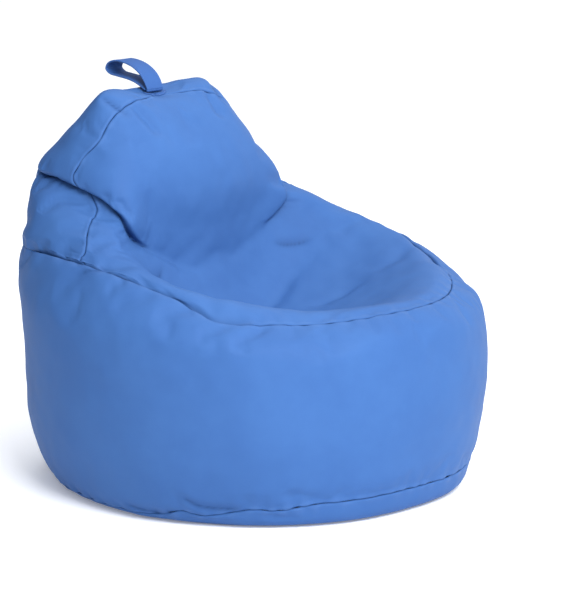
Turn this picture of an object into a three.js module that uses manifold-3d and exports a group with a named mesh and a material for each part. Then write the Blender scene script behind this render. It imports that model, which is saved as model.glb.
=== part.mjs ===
// Bean bag chair. Millimetres, +Z up, front (the knees) towards -Y, standing on z = 0.
import * as THREE from "three";
import { mergeVertices } from "three/addons/utils/BufferGeometryUtils.js";
import Module from "manifold-3d";

const wasm = await Module();
wasm.setup();

// ---- driving sizes ----
const BAG_WIDTH = 837; // across X, at the widest ring
const BAG_DEPTH = 822; // along Y
const BAG_HEIGHT = 691; // floor to the top corners, without the loop
const SHEET = 1.4; // leatherette with its knitted backing
const SEAM_GAP = 0.35; // half the gap left between two sewn panels

const ZIP_BOTTOM = 0.162 * BAG_HEIGHT; // heights of the two ends of the rear opening
const ZIP_TOP = 0.7193 * BAG_HEIGHT;
const ZIP_END = 5; // from each end of the opening to its tooth rows
const OPENING_HALF = 7.5; // half the width of the rear opening
const TAPE_OUT = 18; // outer edge of each zip tape, from the zip's centre
const TAPE_THICK = 0.8;
const TOOTH_GAP = 0.8; // each tooth row starts this far from the centre
const TOOTH_REACH = 2.8;
const TOOTH_HEIGHT = 2.4;
const TOOTH_PITCH = 8;
const SLIDER_LENGTH = 16;
const SLIDER_HALF = 6.2;
const PLATE = 1.5; // each slider plate
const RUN_CLEAR = 0.3; // everything that runs past something else
const STOP = [0.6, 3]; // near and far face of each end stop, from the tooth rows
const PULL_LENGTH = 26;

const TAPE_CLEAR = 1.2; // cover to zip tape
const LINER_CLEAR = 1.9; // slider to liner
const LINER_SHEET = 0.8;
const FILL_GAP = 1; // liner to beads
const LINER_BASE_Z = 8;
const SLIT_HALF = 110; // half the length of the liner's filling slit
const SLIT_WIDE = 6; // half its width
const LINER_RUN_CLEAR = 18; // from the slit's end to the liner slider's centre
const LINER_SLIDER_REST = LINER_RUN_CLEAR - SLIT_HALF;

const STRAP_WIDTH = 45;
const STRAP_THICK = 3.2;
const LOOP_ROOT_Y = 248; // the loop's stitched root, across the ridge
const LOOP_RISE = 1.035; // its height above the patch's face, under the strap's edges
const PATCH_CLEAR = 0.5; // cover to patch
const VENT_HOLE = 4; // radius
const VENT_FLANGE = 9;
const VENT_HEIGHT = 0.7236 * BAG_HEIGHT;
const VENT_TURN = 158; // degrees from the front
const LABEL = [34, 52, 0.6];
const LABEL_TURN = 164;

// ---- surface of the filled bag ----
// Each ring: front [y, z], side [x, y, z], rear [y, z], then corrections at 45 and 135 degrees.
const NOMINAL = [837, 822, 691];
const GROW = [BAG_WIDTH / NOMINAL[0], BAG_DEPTH / NOMINAL[1], BAG_HEIGHT / NOMINAL[2]];
const ZERO = [0, 0, 0];
const RINGS = [
  [[-360, 0], [352, 0, 0], [353, 0]],
  [[-379, 8], [372, 0, 8], [374, 8]],
  [[-389, 30], [385, 0, 30], [388, 30]],
  [[-402, 105], [404, 0, 105], [412, 105]],
  [[-410, 195], [415, 0, 200], [412, 200], ZERO, [2, 2, 0]],
  [[-402, 278], [418, 0, 290], [412, 295], [0, 0, -6], [4, 6, 0]],
  [[-384, 325], [405, 0, 352], [412, 360], [2, -2, -14], [12, 16, 0]],
  [[-350, 350], [360, 14, 413], [412, 415], [-2, 2, -30], [22, 25, 6]],
  [[-290, 345], [346, 38, 424], [412, 445], [0, 0, -18], [23, 24, 10]],
  [[-190, 312], [337, 55, 430], [412, 470], [0, 0, -8], [20, 21, 14]],
  [[-70, 285], [320, 80, 442], [412, 497], [0, 0, -6], [18, 19, 17]],
  [[45, 298], [300, 108, 458], [412, 522], ZERO, [20, 18, 20]],
  [[102, 365], [270, 132, 478], [407, 544], ZERO, [31, 18, 18]],
  [[115, 435], [236, 150, 496], [396, 565], ZERO, [45, 18, 14]],
  [[112, 515], [222, 172, 545], [372, 604], ZERO, [36, 8, 2]],
  [[140, 590], [192, 208, 608], [326, 648], ZERO, [24, 5, 4]],
  [[200, 660], [132, 250, 688], [285, 684]],
  [[250, 672], [0, 250, 672], [250, 672]],
];
const SEAM_ROW = 2;
const RIM_ROW = 7;
const TOP_ROW = 17;
const COLLAR_ROW = 16.9; // the gores stop here, under the top patch
const PATCH_ROW = COLLAR_ROW - 0.12; // lower edge of the patch
// Each long side seam, as pairs of row and degrees from the front.
const SIDE_SEAM = [
  [7, 101], [8, 101], [9.3, 99], [12.5, 96], [13, 97], [13.5, 103], [14, 110], [14.6, 104],
  [15.3, 82], [15.8, 52], [16.2, 37], [16.55, 31], [17, 28],
];
const REAR_Y = 412 * GROW[1]; // the rear opening lies in this plane

// ---- rear zip, from the cover inwards ----
const tapeY = REAR_Y - SHEET - TAPE_CLEAR - TAPE_THICK; // inner face of the tapes
const toothY = [-1, 1].map((k) => tapeY + TAPE_THICK / 2 + (k * TOOTH_HEIGHT) / 2);
const plateGap = RUN_CLEAR + 0.1;
const outerPlate = [toothY[1] + plateGap, toothY[1] + plateGap + PLATE];
const innerPlate = [toothY[0] - plateGap - PLATE, toothY[0] - plateGap];
const rowFrom = ZIP_BOTTOM + ZIP_END + 1;
const rowTo = ZIP_TOP - ZIP_END;
const sliderRest = rowTo - SLIDER_LENGTH / 2; // height of the slider's centre when the zip is shut
const LINER_GAP = REAR_Y - innerPlate[0] + LINER_CLEAR;

const HALF = Math.SQRT1_2;
const KEYS = RINGS.map(([f, s, r, q = ZERO, e = ZERO]) => {
  const diagonal = (end, add) => [
    s[0] * HALF + add[0],
    s[1] + (end[0] - s[1]) * HALF + add[1],
    (s[2] + end[1]) / 2 + add[2],
  ];
  const five = [[0, ...f], diagonal(f, q), s, diagonal(r, e), [0, ...r]];
  return five.map((p) => p.map((v, k) => v * GROW[k]));
});

const keyAt = (i, m, k) => {
  const last = KEYS.length - 1;
  if (i < 0) return 2 * KEYS[0][m][k] - KEYS[1][m][k];
  if (i > last) return 2 * KEYS[last][m][k] - KEYS[last - 1][m][k];
  return KEYS[i][m][k];
};

const DEG = Math.PI / 180;

/** Point of the bag's outer face at u radians from the front and row v; v below 0 is the flat base. */
function surface(u, v) {
  if (v < 0) {
    const edge = surface(u, 0);
    return new THREE.Vector3(edge.x * (1 + v), edge.y * (1 + v), 0);
  }
  const i = Math.min(Math.floor(v), KEYS.length - 2);
  const w = v - i;
  const spline = (m, k) => {
    const [a, b, c, d] = [-1, 0, 1, 2].map((o) => keyAt(i + o, m, k));
    const bend = (2 * a - 5 * b + 4 * c - d) * w * w + (3 * b - a - 3 * c + d) * w ** 3;
    return (2 * b + (c - a) * w + bend) / 2;
  };
  const [x1, x2, x3] = [1, 2, 3].map((m) => spline(m, 0));
  const x =
    (((x1 + x3) * HALF + x2) / 2) * Math.sin(u) +
    ((x1 - x3) / 2) * Math.sin(2 * u) +
    (((x1 + x3) * HALF - x2) / 2) * Math.sin(3 * u);
  const wave = (k) => {
    const p = [0, 1, 2, 3, 4].map((m) => spline(m, k));
    let sum = 0;
    for (let n = 0; n <= 4; n++) {
      let c = 0;
      for (let m = 0; m <= 4; m++) c += p[m] * Math.cos((Math.PI * m * n) / 4) * (m % 4 ? 1 : 0.5);
      sum += (c / 2) * Math.cos(n * u) * (n % 4 ? 1 : 0.5);
    }
    return sum;
  };
  return new THREE.Vector3(x, wave(1), wave(2));
}

const STEP = 0.01;

/** Outward direction of the bag's face. */
function outward(u, v) {
  if (v <= -0.5) return new THREE.Vector3(0, 0, -1);
  const at = Math.min(v, TOP_ROW - 0.06);
  const du = surface(u + STEP, at).sub(surface(u - STEP, at));
  const dv = surface(u, at + STEP).sub(surface(u, at - STEP));
  return du.cross(dv).normalize();
}

const POLE_OUT = [0, 1, 2, 3, 4, 5, 6, 7]
  .map((k) => outward(k * 45 * DEG, TOP_ROW - 0.1))
  .reduce((a, b) => a.add(b), new THREE.Vector3())
  .normalize();

/** Point at a given distance outside (or, negative, inside) the bag's face. */
function offset(u, v, by) {
  const n = v >= TOP_ROW ? POLE_OUT : outward(u, v);
  return surface(v >= TOP_ROW ? 0 : u, v).addScaledVector(n, by);
}

/** Value in [lo, hi] where a rising function reaches the target. */
function solve(f, target, lo, hi) {
  for (let i = 0; i < 40; i++) {
    const mid = (lo + hi) / 2;
    if (f(mid) < target) lo = mid;
    else hi = mid;
  }
  return (lo + hi) / 2;
}

const rowAtRear = (z) => solve((v) => surface(Math.PI, v).z, z, 1, 16);
const turnAtX = (x, v) => Math.PI - solve((a) => surface(Math.PI - a, v).x, x, 0, 0.9);

// ---- building helpers ----
/** Geometry from a list of corner triples; triangles that close to a line at a pole are left out. */
function fromTriangles(triangles) {
  const kept = triangles.filter(
    ([a, b, c]) => a.distanceTo(b) > 1e-3 && b.distanceTo(c) > 1e-3 && c.distanceTo(a) > 1e-3,
  );
  const flat = new Float32Array(kept.flatMap((t) => t.flatMap((p) => [p.x, p.y, p.z])));
  const g = new THREE.BufferGeometry();
  g.setAttribute("position", new THREE.BufferAttribute(flat, 3));
  return g;
}

/**
 * Closed sheet between two grids of points, outer[j][i] and inner[j][i], with the same rows and
 * columns. With ring set, the last column joins the first. With inner null the grid closes alone.
 */
function sheet(outer, inner, ring) {
  const rows = outer.length;
  const cols = outer[0].length;
  const span = ring ? cols : cols - 1;
  const out = [];
  const quad = (a, b, c, d) => out.push([a, b, c], [a, c, d]);
  for (let j = 0; j < rows - 1; j++)
    for (let i = 0; i < span; i++) {
      const n = (i + 1) % cols;
      quad(outer[j][i], outer[j][n], outer[j + 1][n], outer[j + 1][i]);
      if (inner) quad(inner[j][i], inner[j + 1][i], inner[j + 1][n], inner[j][n]);
    }
  if (inner) {
    const last = rows - 1;
    for (let i = 0; i < span; i++) {
      const n = (i + 1) % cols;
      quad(inner[0][i], inner[0][n], outer[0][n], outer[0][i]);
      quad(outer[last][i], outer[last][n], inner[last][n], inner[last][i]);
    }
    if (!ring)
      for (let j = 0; j < rows - 1; j++) {
        const k = cols - 1;
        quad(outer[j][0], outer[j + 1][0], inner[j + 1][0], inner[j][0]);
        quad(outer[j][k], inner[j][k], inner[j + 1][k], outer[j + 1][k]);
      }
  }
  return fromTriangles(out);
}

const grid = (rows, turns, by) => rows.map((v) => turns(v).map((u) => offset(u, v, by)));
const steps = (from, to, count) =>
  Array.from({ length: count + 1 }, (_, i) => from + ((to - from) * i) / count);

/** Panel of the cover over the rows and, for each row, the turns given by a function. */
const panel = (rows, turns, ring) =>
  sheet(grid(rows, turns, 0), grid(rows, turns, -SHEET), ring);

const box = (x, y, z) => {
  const g = new THREE.BoxGeometry(x[1] - x[0], y[1] - y[0], z[1] - z[0]);
  return g.translate((x[0] + x[1]) / 2, (y[0] + y[1]) / 2, (z[0] + z[1]) / 2);
};

const toSolid = (g) => {
  const bare = new THREE.BufferGeometry();
  bare.setAttribute("position", (g.index ? g.toNonIndexed() : g).getAttribute("position"));
  const m = mergeVertices(bare, 1e-4);
  return new wasm.Manifold(
    new wasm.Mesh({
      numProp: 3,
      vertProperties: new Float32Array(m.attributes.position.array),
      triVerts: new Uint32Array(m.index.array),
    }),
  );
};

const toGeometry = (solid) => {
  const mesh = solid.getMesh();
  const g = new THREE.BufferGeometry();
  const flat = new Float32Array(mesh.vertProperties);
  g.setAttribute("position", new THREE.BufferAttribute(flat, 3));
  return g.setIndex(new THREE.BufferAttribute(new Uint32Array(mesh.triVerts), 1));
};

const join = (...parts) => toGeometry(parts.map(toSolid).reduce((a, b) => a.add(b)));
const cut = (from, ...tools) =>
  toGeometry(tools.map(toSolid).reduce((a, b) => a.subtract(b), toSolid(from)));

/** Frame standing on the bag's face: x along the turn, y up the bag, z outward. */
function frameOn(u, v, by) {
  const z = outward(u, v);
  const x = surface(u + STEP, v).sub(surface(u - STEP, v)).normalize();
  const y = z.clone().cross(x).normalize();
  const m = new THREE.Matrix4().makeBasis(x, y, z);
  return m.setPosition(offset(u, v, by));
}

const finish = {
  leatherette: { color: 0x5389d6, roughness: 0.5, metalness: 0 },
  webbing: { color: 0x4d7fcb, roughness: 0.6, metalness: 0 },
  tape: { color: 0x3a66ae, roughness: 0.85, metalness: 0 },
  plastic: { color: 0x2f5ea8, roughness: 0.45, metalness: 0 },
  metal: { color: 0xb8bcc2, roughness: 0.3, metalness: 1 },
  liner: { color: 0xe8e8e4, roughness: 0.9, metalness: 0 },
  label: { color: 0xf4f4f2, roughness: 0.8, metalness: 0 },
  beads: { color: 0xfafafa, roughness: 0.95, metalness: 0 },
};

const root = new THREE.Group();
root.name = "bean_bag_chair";
function add(name, geometry, kind) {
  const mesh = new THREE.Mesh(geometry, new THREE.MeshStandardMaterial(finish[kind]));
  mesh.name = name;
  root.add(mesh);
}

// ---- outer cover ----
const TURN = 7.5 * DEG;
const seamTurn = (v) => {
  const k = Math.max(1, SIDE_SEAM.findIndex(([row]) => row >= v));
  const [[v0, u0], [v1, u1]] = [SIDE_SEAM[k - 1], SIDE_SEAM[k]];
  return (u0 + ((u1 - u0) * (v - v0)) / (v1 - v0)) * DEG;
};
const seamGap = (v) => {
  const u = seamTurn(v);
  return (SEAM_GAP * 2 * STEP) / surface(u + STEP, v).distanceTo(surface(u - STEP, v));
};
const zipStartRow = rowAtRear(ZIP_BOTTOM);
const zipEndRow = rowAtRear(ZIP_TOP);
const openRow = rowAtRear(ZIP_BOTTOM - 6);
const shutRow = rowAtRear(ZIP_TOP + 6);
const edgeAt = (v) => {
  const open = v >= zipStartRow - 1e-6 && v <= zipEndRow + 1e-6;
  return turnAtX(open ? OPENING_HALF : SEAM_GAP, v);
};

const ringTurns = () => steps(0, 47, 47).map((k) => k * TURN);
const baseRows = [-1, -0.6, -0.3, -0.1, 0, 0.5, 1, 1.5, SEAM_ROW - 0.015];
add("base_panel", panel(baseRows, ringTurns, true), "leatherette");

const wallRows = [SEAM_ROW + 0.015, openRow, zipStartRow, 3.2, 4, 4.7, 5.3, 6, 6.5, RIM_ROW - 0.01];
const wallTurns = (v) => {
  const mid = steps(-172.5, 172.5, 46).map((d) => d * DEG);
  return [-edgeAt(v), ...mid, edgeAt(v)];
};
add("wall_panel", panel(wallRows, wallTurns, false), "leatherette");

const upperRows = [
  RIM_ROW + 0.015, 7.5, 8, 8.6, 9.3, zipEndRow, shutRow, 10.5, 11, 11.5, 12, 12.5, 13, 13.5, 14, 14.6,
  15.3, 15.8, 16.2, 16.55, COLLAR_ROW,
];
const frontTurns = (v) => {
  const edge = seamTurn(v) - seamGap(v);
  return steps(-edge, edge, 28);
};
add("front_panel", panel(upperRows, frontTurns, false), "leatherette");

const gore = (side) => (v) => {
  const turns = [...steps(seamTurn(v) + seamGap(v), 172.5 * DEG, 10), edgeAt(v)];
  return side > 0 ? turns : turns.map((u) => -u).reverse();
};
const ventRow = rowAtRear(VENT_HEIGHT);
const sides = [["left", -1], ["right", 1]];
for (const [label, side] of sides) {
  const at = frameOn(side * VENT_TURN * DEG, ventRow, 0);
  const hole = new THREE.CylinderGeometry(VENT_HOLE, VENT_HOLE, 12, 24);
  hole.rotateX(Math.PI / 2).applyMatrix4(at);
  add("back_panel_" + label, cut(panel(upperRows, gore(side), false), hole), "leatherette");

  const bore = VENT_HOLE - 1.3;
  const barrel = VENT_HOLE - RUN_CLEAR;
  const eyelet = new THREE.LatheGeometry(
    [[bore, -4], [barrel, -4], [barrel, 0.5], [VENT_FLANGE, 0.5], [VENT_FLANGE - 1, 1.3],
      [bore + 0.8, 1.5], [bore, 0.9], [bore, -4]].map(([r, z]) => new THREE.Vector2(r, z)),
    28,
  );
  add("vent_eyelet_" + label, eyelet.rotateX(Math.PI / 2).applyMatrix4(at), "metal");
  const w0 = -SHEET - 2.4;
  const w1 = -SHEET - 1.8;
  const washer = new THREE.LatheGeometry(
    [[VENT_HOLE, w0], [VENT_FLANGE - 0.6, w0], [VENT_FLANGE - 0.6, w1], [VENT_HOLE, w1],
      [VENT_HOLE, w0]].map(([r, z]) => new THREE.Vector2(r, z)),
    28,
  );
  add("vent_washer_" + label, washer.rotateX(Math.PI / 2).applyMatrix4(at), "metal");
}

const patchRows = steps(PATCH_ROW, TOP_ROW, 3);
const patchFaces = [PATCH_CLEAR + SHEET, PATCH_CLEAR].map((by) => grid(patchRows, ringTurns, by));
add("handle_patch", sheet(...patchFaces, true), "webbing");

// ---- carrying loop: one strap folded double, its two legs stitched together at the root ----
const RIDGE_TURN = Math.PI / 2;
const strapEdgeRow = solve((v) => -surface(RIDGE_TURN, v).x, -STRAP_WIDTH / 2, TOP_ROW - 1, TOP_ROW);
const ry = LOOP_ROOT_Y * GROW[1];
const rz = offset(RIDGE_TURN, strapEdgeRow, PATCH_CLEAR + SHEET).z + LOOP_RISE;
const loopPath = new THREE.CatmullRomCurve3(
  [
    [1.2, 5], [8, 18], [20, 33], [40, 46], [62, 52], [84, 53], [100, 47], [105, 37], [96, 29],
    [78, 26], [56, 23], [36, 18], [20, 11], [8, 4.5],
  ].map(([y, z]) => new THREE.Vector3(0, ry + y, rz + z)),
  false,
  "centripetal",
);
const strapSection = new THREE.Shape(
  [[-1, -1], [1, -1], [1, 1], [-1, 1]].map(
    ([a, b]) => new THREE.Vector2((a * STRAP_WIDTH) / 2, (b * STRAP_THICK) / 2),
  ),
);
const loop = new THREE.ExtrudeGeometry(strapSection, {
  steps: 56,
  bevelEnabled: false,
  extrudePath: loopPath,
});
const hem = new THREE.CylinderGeometry(3.4, 3.4, STRAP_WIDTH, 20);
hem.rotateZ(Math.PI / 2).translate(0, ry + 3, rz + 3.2);
add("handle_strap", join(loop, hem), "webbing");

// ---- rear zip ----
for (const [label, side] of sides) {
  const span = (a, b) => (side > 0 ? [a, b] : [-b, -a]);
  const inner = TOOTH_GAP + TOOTH_REACH + RUN_CLEAR;
  add(
    "zip_tape_" + label,
    box(span(inner, TAPE_OUT), [tapeY, tapeY + TAPE_THICK], [ZIP_BOTTOM + 1, ZIP_TOP - 1]),
    "tape",
  );
  const comb = [];
  const count = Math.round((rowTo - rowFrom) / TOOTH_PITCH);
  const pitch = (rowTo - rowFrom) / count;
  for (let k = 0; k < count; k++) {
    const z = rowFrom + k * pitch;
    const [tip, back] = [side * TOOTH_GAP, side * (TOOTH_GAP + TOOTH_REACH * 0.55)];
    comb.push([back, z], [tip, z + 0.8], [tip, z + pitch - 2.2], [back, z + pitch - 1.4]);
  }
  const spine = side * (TOOTH_GAP + TOOTH_REACH);
  comb.push([spine, rowTo - 1.4], [spine, rowFrom]);
  // drawn in x and height, then stood up so that its thickness runs along y
  const teeth = new THREE.ExtrudeGeometry(
    new THREE.Shape(comb.map(([x, z]) => new THREE.Vector2(x, z))),
    { depth: TOOTH_HEIGHT, bevelEnabled: false },
  );
  add("zip_teeth_" + label, teeth.rotateX(Math.PI / 2).translate(0, toothY[1], 0), "plastic");
}
const stopX = [-TOOTH_GAP - TOOTH_REACH, TOOTH_GAP + TOOTH_REACH];
add("zip_bottom_stop", box(stopX, toothY, [rowFrom - STOP[1], rowFrom - STOP[0]]), "metal");
add("zip_top_stop", box(stopX, toothY, [rowTo + STOP[0], rowTo + STOP[1]]), "metal");

const sliderZ = [sliderRest - SLIDER_LENGTH / 2, sliderRest + SLIDER_LENGTH / 2];
const pinY = outerPlate[1] + 2;
const bridge = TOOTH_GAP - RUN_CLEAR;
const eye = new THREE.CylinderGeometry(1.5, 1.5, 8, 20).rotateZ(Math.PI / 2);
eye.translate(0, pinY, sliderRest);
const crown = box([-1.3, 1.3], [outerPlate[1] - 0.2, pinY + 2.7], [sliderRest - 3, sliderRest + 3]);
add(
  "zip_slider",
  cut(
    join(
      box([-SLIDER_HALF, SLIDER_HALF], outerPlate, sliderZ),
      box([-SLIDER_HALF, SLIDER_HALF], innerPlate, sliderZ),
      box([-bridge, bridge], [innerPlate[1] - 0.2, outerPlate[0] + 0.2], [sliderRest, sliderZ[1] - 1]),
      crown,
    ),
    eye,
  ),
  "metal",
);
const pullShape = new THREE.Shape(
  [[-3.6, 0.8], [3.6, 0.8], [3.6, -6], [5, -9], [5, -PULL_LENGTH + 3], [3, -PULL_LENGTH],
    [-3, -PULL_LENGTH], [-5, -PULL_LENGTH + 3], [-5, -9], [-3.6, -6]].map(
    ([x, z]) => new THREE.Vector2(x, z),
  ),
);
pullShape.holes.push(
  new THREE.Path([[-1.9, -0.8], [-1.9, -5], [1.9, -5], [1.9, -0.8]].map(
    ([x, z]) => new THREE.Vector2(x, z),
  )),
);
const pull = new THREE.ExtrudeGeometry(pullShape, { depth: 1.2, bevelEnabled: false });
add("zip_pull", pull.rotateX(Math.PI / 2).translate(0, pinY + 0.6, sliderRest), "metal");
add(
  "zip_garage",
  box([-17, 17], [REAR_Y + 0.4, REAR_Y + 1.6], [ZIP_TOP - 3, ZIP_TOP + 20]),
  "leatherette",
);

// ---- blank label, hanging outside from the rim seam ----
const label = new THREE.BoxGeometry(LABEL[0], LABEL[1], LABEL[2]);
label.translate(0, -LABEL[1] / 2, LABEL[2] / 2);
add("care_label", label.applyMatrix4(frameOn(LABEL_TURN * DEG, RIM_ROW - 0.1, 1.2)), "label");

// ---- liner and beads ----
const innerTurns = () => steps(0, 35, 35).map((k) => k * 10 * DEG);
const innerRows = [
  0.6, 1.3, 2, 3, 4, 5, 6, 7, 8, 8.6, 9.3, 10, 10.5, 11, 11.5, 12, 12.5, 13, 14, 15, 15.8, 16.4, TOP_ROW,
];
const linerIn = -LINER_GAP - LINER_SHEET;
add(
  "liner_body",
  sheet(grid(innerRows, innerTurns, -LINER_GAP), grid(innerRows, innerTurns, linerIn), true),
  "liner",
);
const discShape = new THREE.Shape(
  innerTurns().map((u) => {
    const p = surface(u, 0);
    return new THREE.Vector2(p.x, p.y);
  }),
);
discShape.holes.push(
  new THREE.Path(
    [[-SLIT_HALF, -SLIT_WIDE], [-SLIT_HALF, SLIT_WIDE], [SLIT_HALF, SLIT_WIDE],
      [SLIT_HALF, -SLIT_WIDE]].map(([x, y]) => new THREE.Vector2(x, y)),
  ),
);
const disc = new THREE.ExtrudeGeometry(discShape, { depth: LINER_SHEET, bevelEnabled: false });
add("liner_base", disc.translate(0, 0, LINER_BASE_Z), "liner");
const coilZ = [LINER_BASE_Z - 0.6, LINER_BASE_Z + LINER_SHEET + 0.6];
for (const [name, side] of sides) {
  const span = (a, b) => (side > 0 ? [a, b] : [-b, -a]);
  const reach = [-SLIT_HALF + 0.5, SLIT_HALF - 0.5];
  const coil = [TOOTH_GAP, TOOTH_GAP + 1.4];
  add("liner_zip_coil_" + name, box(reach, span(...coil), coilZ), "plastic");
  add(
    "liner_zip_tape_" + name,
    box(reach, span(coil[1] + RUN_CLEAR, SLIT_WIDE - RUN_CLEAR), [LINER_BASE_Z, LINER_BASE_Z + LINER_SHEET]),
    "tape",
  );
}
const runX = [LINER_SLIDER_REST - 6, LINER_SLIDER_REST + 6];
const under = [coilZ[0] - RUN_CLEAR - 1.2, coilZ[0] - RUN_CLEAR];
const above = [coilZ[1] + RUN_CLEAR, coilZ[1] + RUN_CLEAR + 1.2];
add(
  "liner_zip_slider",
  join(
    box(runX, [-4.5, 4.5], under),
    box(runX, [-4.5, 4.5], above),
    box([runX[0] + 1, LINER_SLIDER_REST], [-bridge, bridge], [under[1] - 0.2, above[0] + 0.2]),
  ),
  "metal",
);
const fillIn = linerIn - FILL_GAP;
const fill = grid([1.0, ...innerRows.slice(1)], innerTurns, fillIn);
const floor = new THREE.Vector3(0, 0, above[1] + 1);
fill.unshift(fill[0].map(() => floor));
add("bead_fill", sheet(fill, null, true), "beads");

export default root;
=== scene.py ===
"""Bean bag chair: a sewn leatherette cover over a light liner filled with beads.

Metres, +Z up, the front (the knees) towards -Y, standing on z = 0.
"""

import logging
import math
from collections.abc import Sequence
from dataclasses import dataclass
from enum import Enum

import bmesh
import bpy
import numpy as np
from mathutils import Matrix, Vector


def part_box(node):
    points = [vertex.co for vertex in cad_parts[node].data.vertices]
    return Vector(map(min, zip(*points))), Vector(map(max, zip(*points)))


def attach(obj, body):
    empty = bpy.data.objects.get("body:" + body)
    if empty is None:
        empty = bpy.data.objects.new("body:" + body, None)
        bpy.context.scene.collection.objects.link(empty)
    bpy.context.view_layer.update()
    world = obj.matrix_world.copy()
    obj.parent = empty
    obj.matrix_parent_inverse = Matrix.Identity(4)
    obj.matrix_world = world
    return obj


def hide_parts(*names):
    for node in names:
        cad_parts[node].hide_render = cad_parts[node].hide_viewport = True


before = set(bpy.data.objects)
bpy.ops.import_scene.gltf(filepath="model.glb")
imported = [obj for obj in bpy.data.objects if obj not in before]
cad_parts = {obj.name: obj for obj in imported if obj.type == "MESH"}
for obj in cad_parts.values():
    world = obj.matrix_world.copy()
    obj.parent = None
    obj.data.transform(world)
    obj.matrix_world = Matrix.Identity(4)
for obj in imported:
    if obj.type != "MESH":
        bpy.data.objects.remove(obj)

LOG = logging.getLogger("bean_bag_chair")
MM = 0.001
TAU = 2 * math.pi
DEG = math.pi / 180
SLANT = math.sqrt(0.5)  # sine and cosine of 45 degrees
SHEET = 1.4 * MM  # leatherette with its knitted backing
Array = np.ndarray
Colour = tuple[float, float, float]
Faces = Sequence[Sequence[int]]  # the corners of each face
Part = tuple[Array, Faces]  # points and faces of one closed mesh


# ---------------------------------------------------------------- shaders
class Signal:
    """One socket's value, which adds Math nodes when it is used in arithmetic."""

    def __init__(self, dresser: "Dresser", socket: bpy.types.NodeSocket) -> None:
        """Keep the socket and the material that it belongs to.

        Args:
            dresser: The material being made.
            socket: The output socket.
        """
        self.dresser = dresser
        self.socket = socket

    def _math(self, operation: str, first: object, second: object) -> "Signal":
        """Add one Math node."""
        return self.dresser.node("ShaderNodeMath", {"operation": operation}, {0: first, 1: second})

    def __add__(self, other: object) -> "Signal":
        """self + other."""
        return self._math("ADD", self, other)

    def __radd__(self, other: object) -> "Signal":
        """other + self."""
        return self._math("ADD", other, self)

    def __sub__(self, other: object) -> "Signal":
        """self - other."""
        return self._math("SUBTRACT", self, other)

    def __rsub__(self, other: object) -> "Signal":
        """other - self."""
        return self._math("SUBTRACT", other, self)

    def __mul__(self, other: object) -> "Signal":
        """self * other."""
        return self._math("MULTIPLY", self, other)


class Dresser:
    """One procedural material with a Principled shader."""

    def __init__(self, name: str, settings: dict[str, object]) -> None:
        """Start a material.

        Args:
            name: The material's name.
            settings: Values that are the same all over the surface, by socket name.
        """
        self.material = bpy.data.materials.new(name)
        self.material.use_nodes = True
        self.tree = self.material.node_tree
        self.shader = self.tree.nodes["Principled BSDF"]
        for socket, value in settings.items():
            self.shader.inputs[socket].default_value = value
        self.place = self.node("ShaderNodeTexCoord", out="Object")

    def node(
        self,
        kind: str,
        settings: dict[str, object] | None = None,
        sockets: dict[str | int, object] | None = None,
        out: str | int = 0,
    ) -> Signal:
        """Add a node.

        Args:
            kind: The node's type.
            settings: Its properties, set before its inputs.
            sockets: Values or signals of its inputs.
            out: The output to return.

        Returns:
            The output as a signal.
        """
        made = self.tree.nodes.new(kind)
        for key, value in (settings or {}).items():
            setattr(made, key, value)
        for key, value in (sockets or {}).items():
            self.feed(made.inputs[key], value)
        return Signal(self, made.outputs[out])

    def feed(self, socket: bpy.types.NodeSocket, value: object) -> None:
        """Set a socket, or link a signal to it.

        Args:
            socket: The input.
            value: A number, a colour or a signal.
        """
        if isinstance(value, Signal):
            self.tree.links.new(value.socket, socket)
        elif isinstance(value, tuple) and len(value) == 3 and socket.type == "RGBA":
            socket.default_value = (*value, 1)
        else:
            socket.default_value = value

    def noise(self, scale: float, detail: float = 3, roughness: float = 0.5) -> Signal:
        """Smooth noise, 0 to 1, with about scale features in a metre."""
        values = {"Vector": self.place, "Scale": scale, "Detail": detail, "Roughness": roughness}
        return self.node("ShaderNodeTexNoise", None, values)

    def cells(self, scale: float, feature: str = "F1") -> Signal:
        """Distance to the nearest cell point, or to the cell edge."""
        values = {"Vector": self.place, "Scale": scale}
        return self.node("ShaderNodeTexVoronoi", {"feature": feature}, values, out="Distance")

    def band(self, signal: Signal, low: float, high: float) -> Signal:
        """0 below low, 1 above high, smooth between."""
        values = {"Value": signal, "From Min": low, "From Max": high}
        return self.node("ShaderNodeMapRange", {"interpolation_type": "SMOOTHSTEP"}, values)

    def mark(self, name: str) -> Signal:
        """A number kept on each vertex."""
        return self.node("ShaderNodeAttribute", {"attribute_name": name}, out="Fac")

    def mix(self, factor: object, first: object, second: object) -> Signal:
        """A colour between two colours."""
        made = self.tree.nodes.new("ShaderNodeMix")
        made.data_type = "RGBA"
        self.feed(made.inputs["Factor"], factor)
        rgba = [s for s in made.inputs if s.type == "RGBA"]
        self.feed(rgba[0], first)
        self.feed(rgba[1], second)
        return Signal(self, next(s for s in made.outputs if s.type == "RGBA"))

    def finish(self, colour: Signal, rough: Signal, height: Signal, depth: float) -> bpy.types.Material:
        """Link the surface.

        Args:
            colour: Base colour.
            rough: Roughness.
            height: Relief, 0 to 1.
            depth: Height of the relief in metres.

        Returns:
            The finished material.
        """
        self.feed(self.shader.inputs["Base Color"], colour)
        self.feed(self.shader.inputs["Roughness"], rough)
        bump = self.node("ShaderNodeBump", None, {"Height": height, "Distance": depth, "Strength": 1.0})
        self.feed(self.shader.inputs["Normal"], bump)
        return self.material


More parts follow.
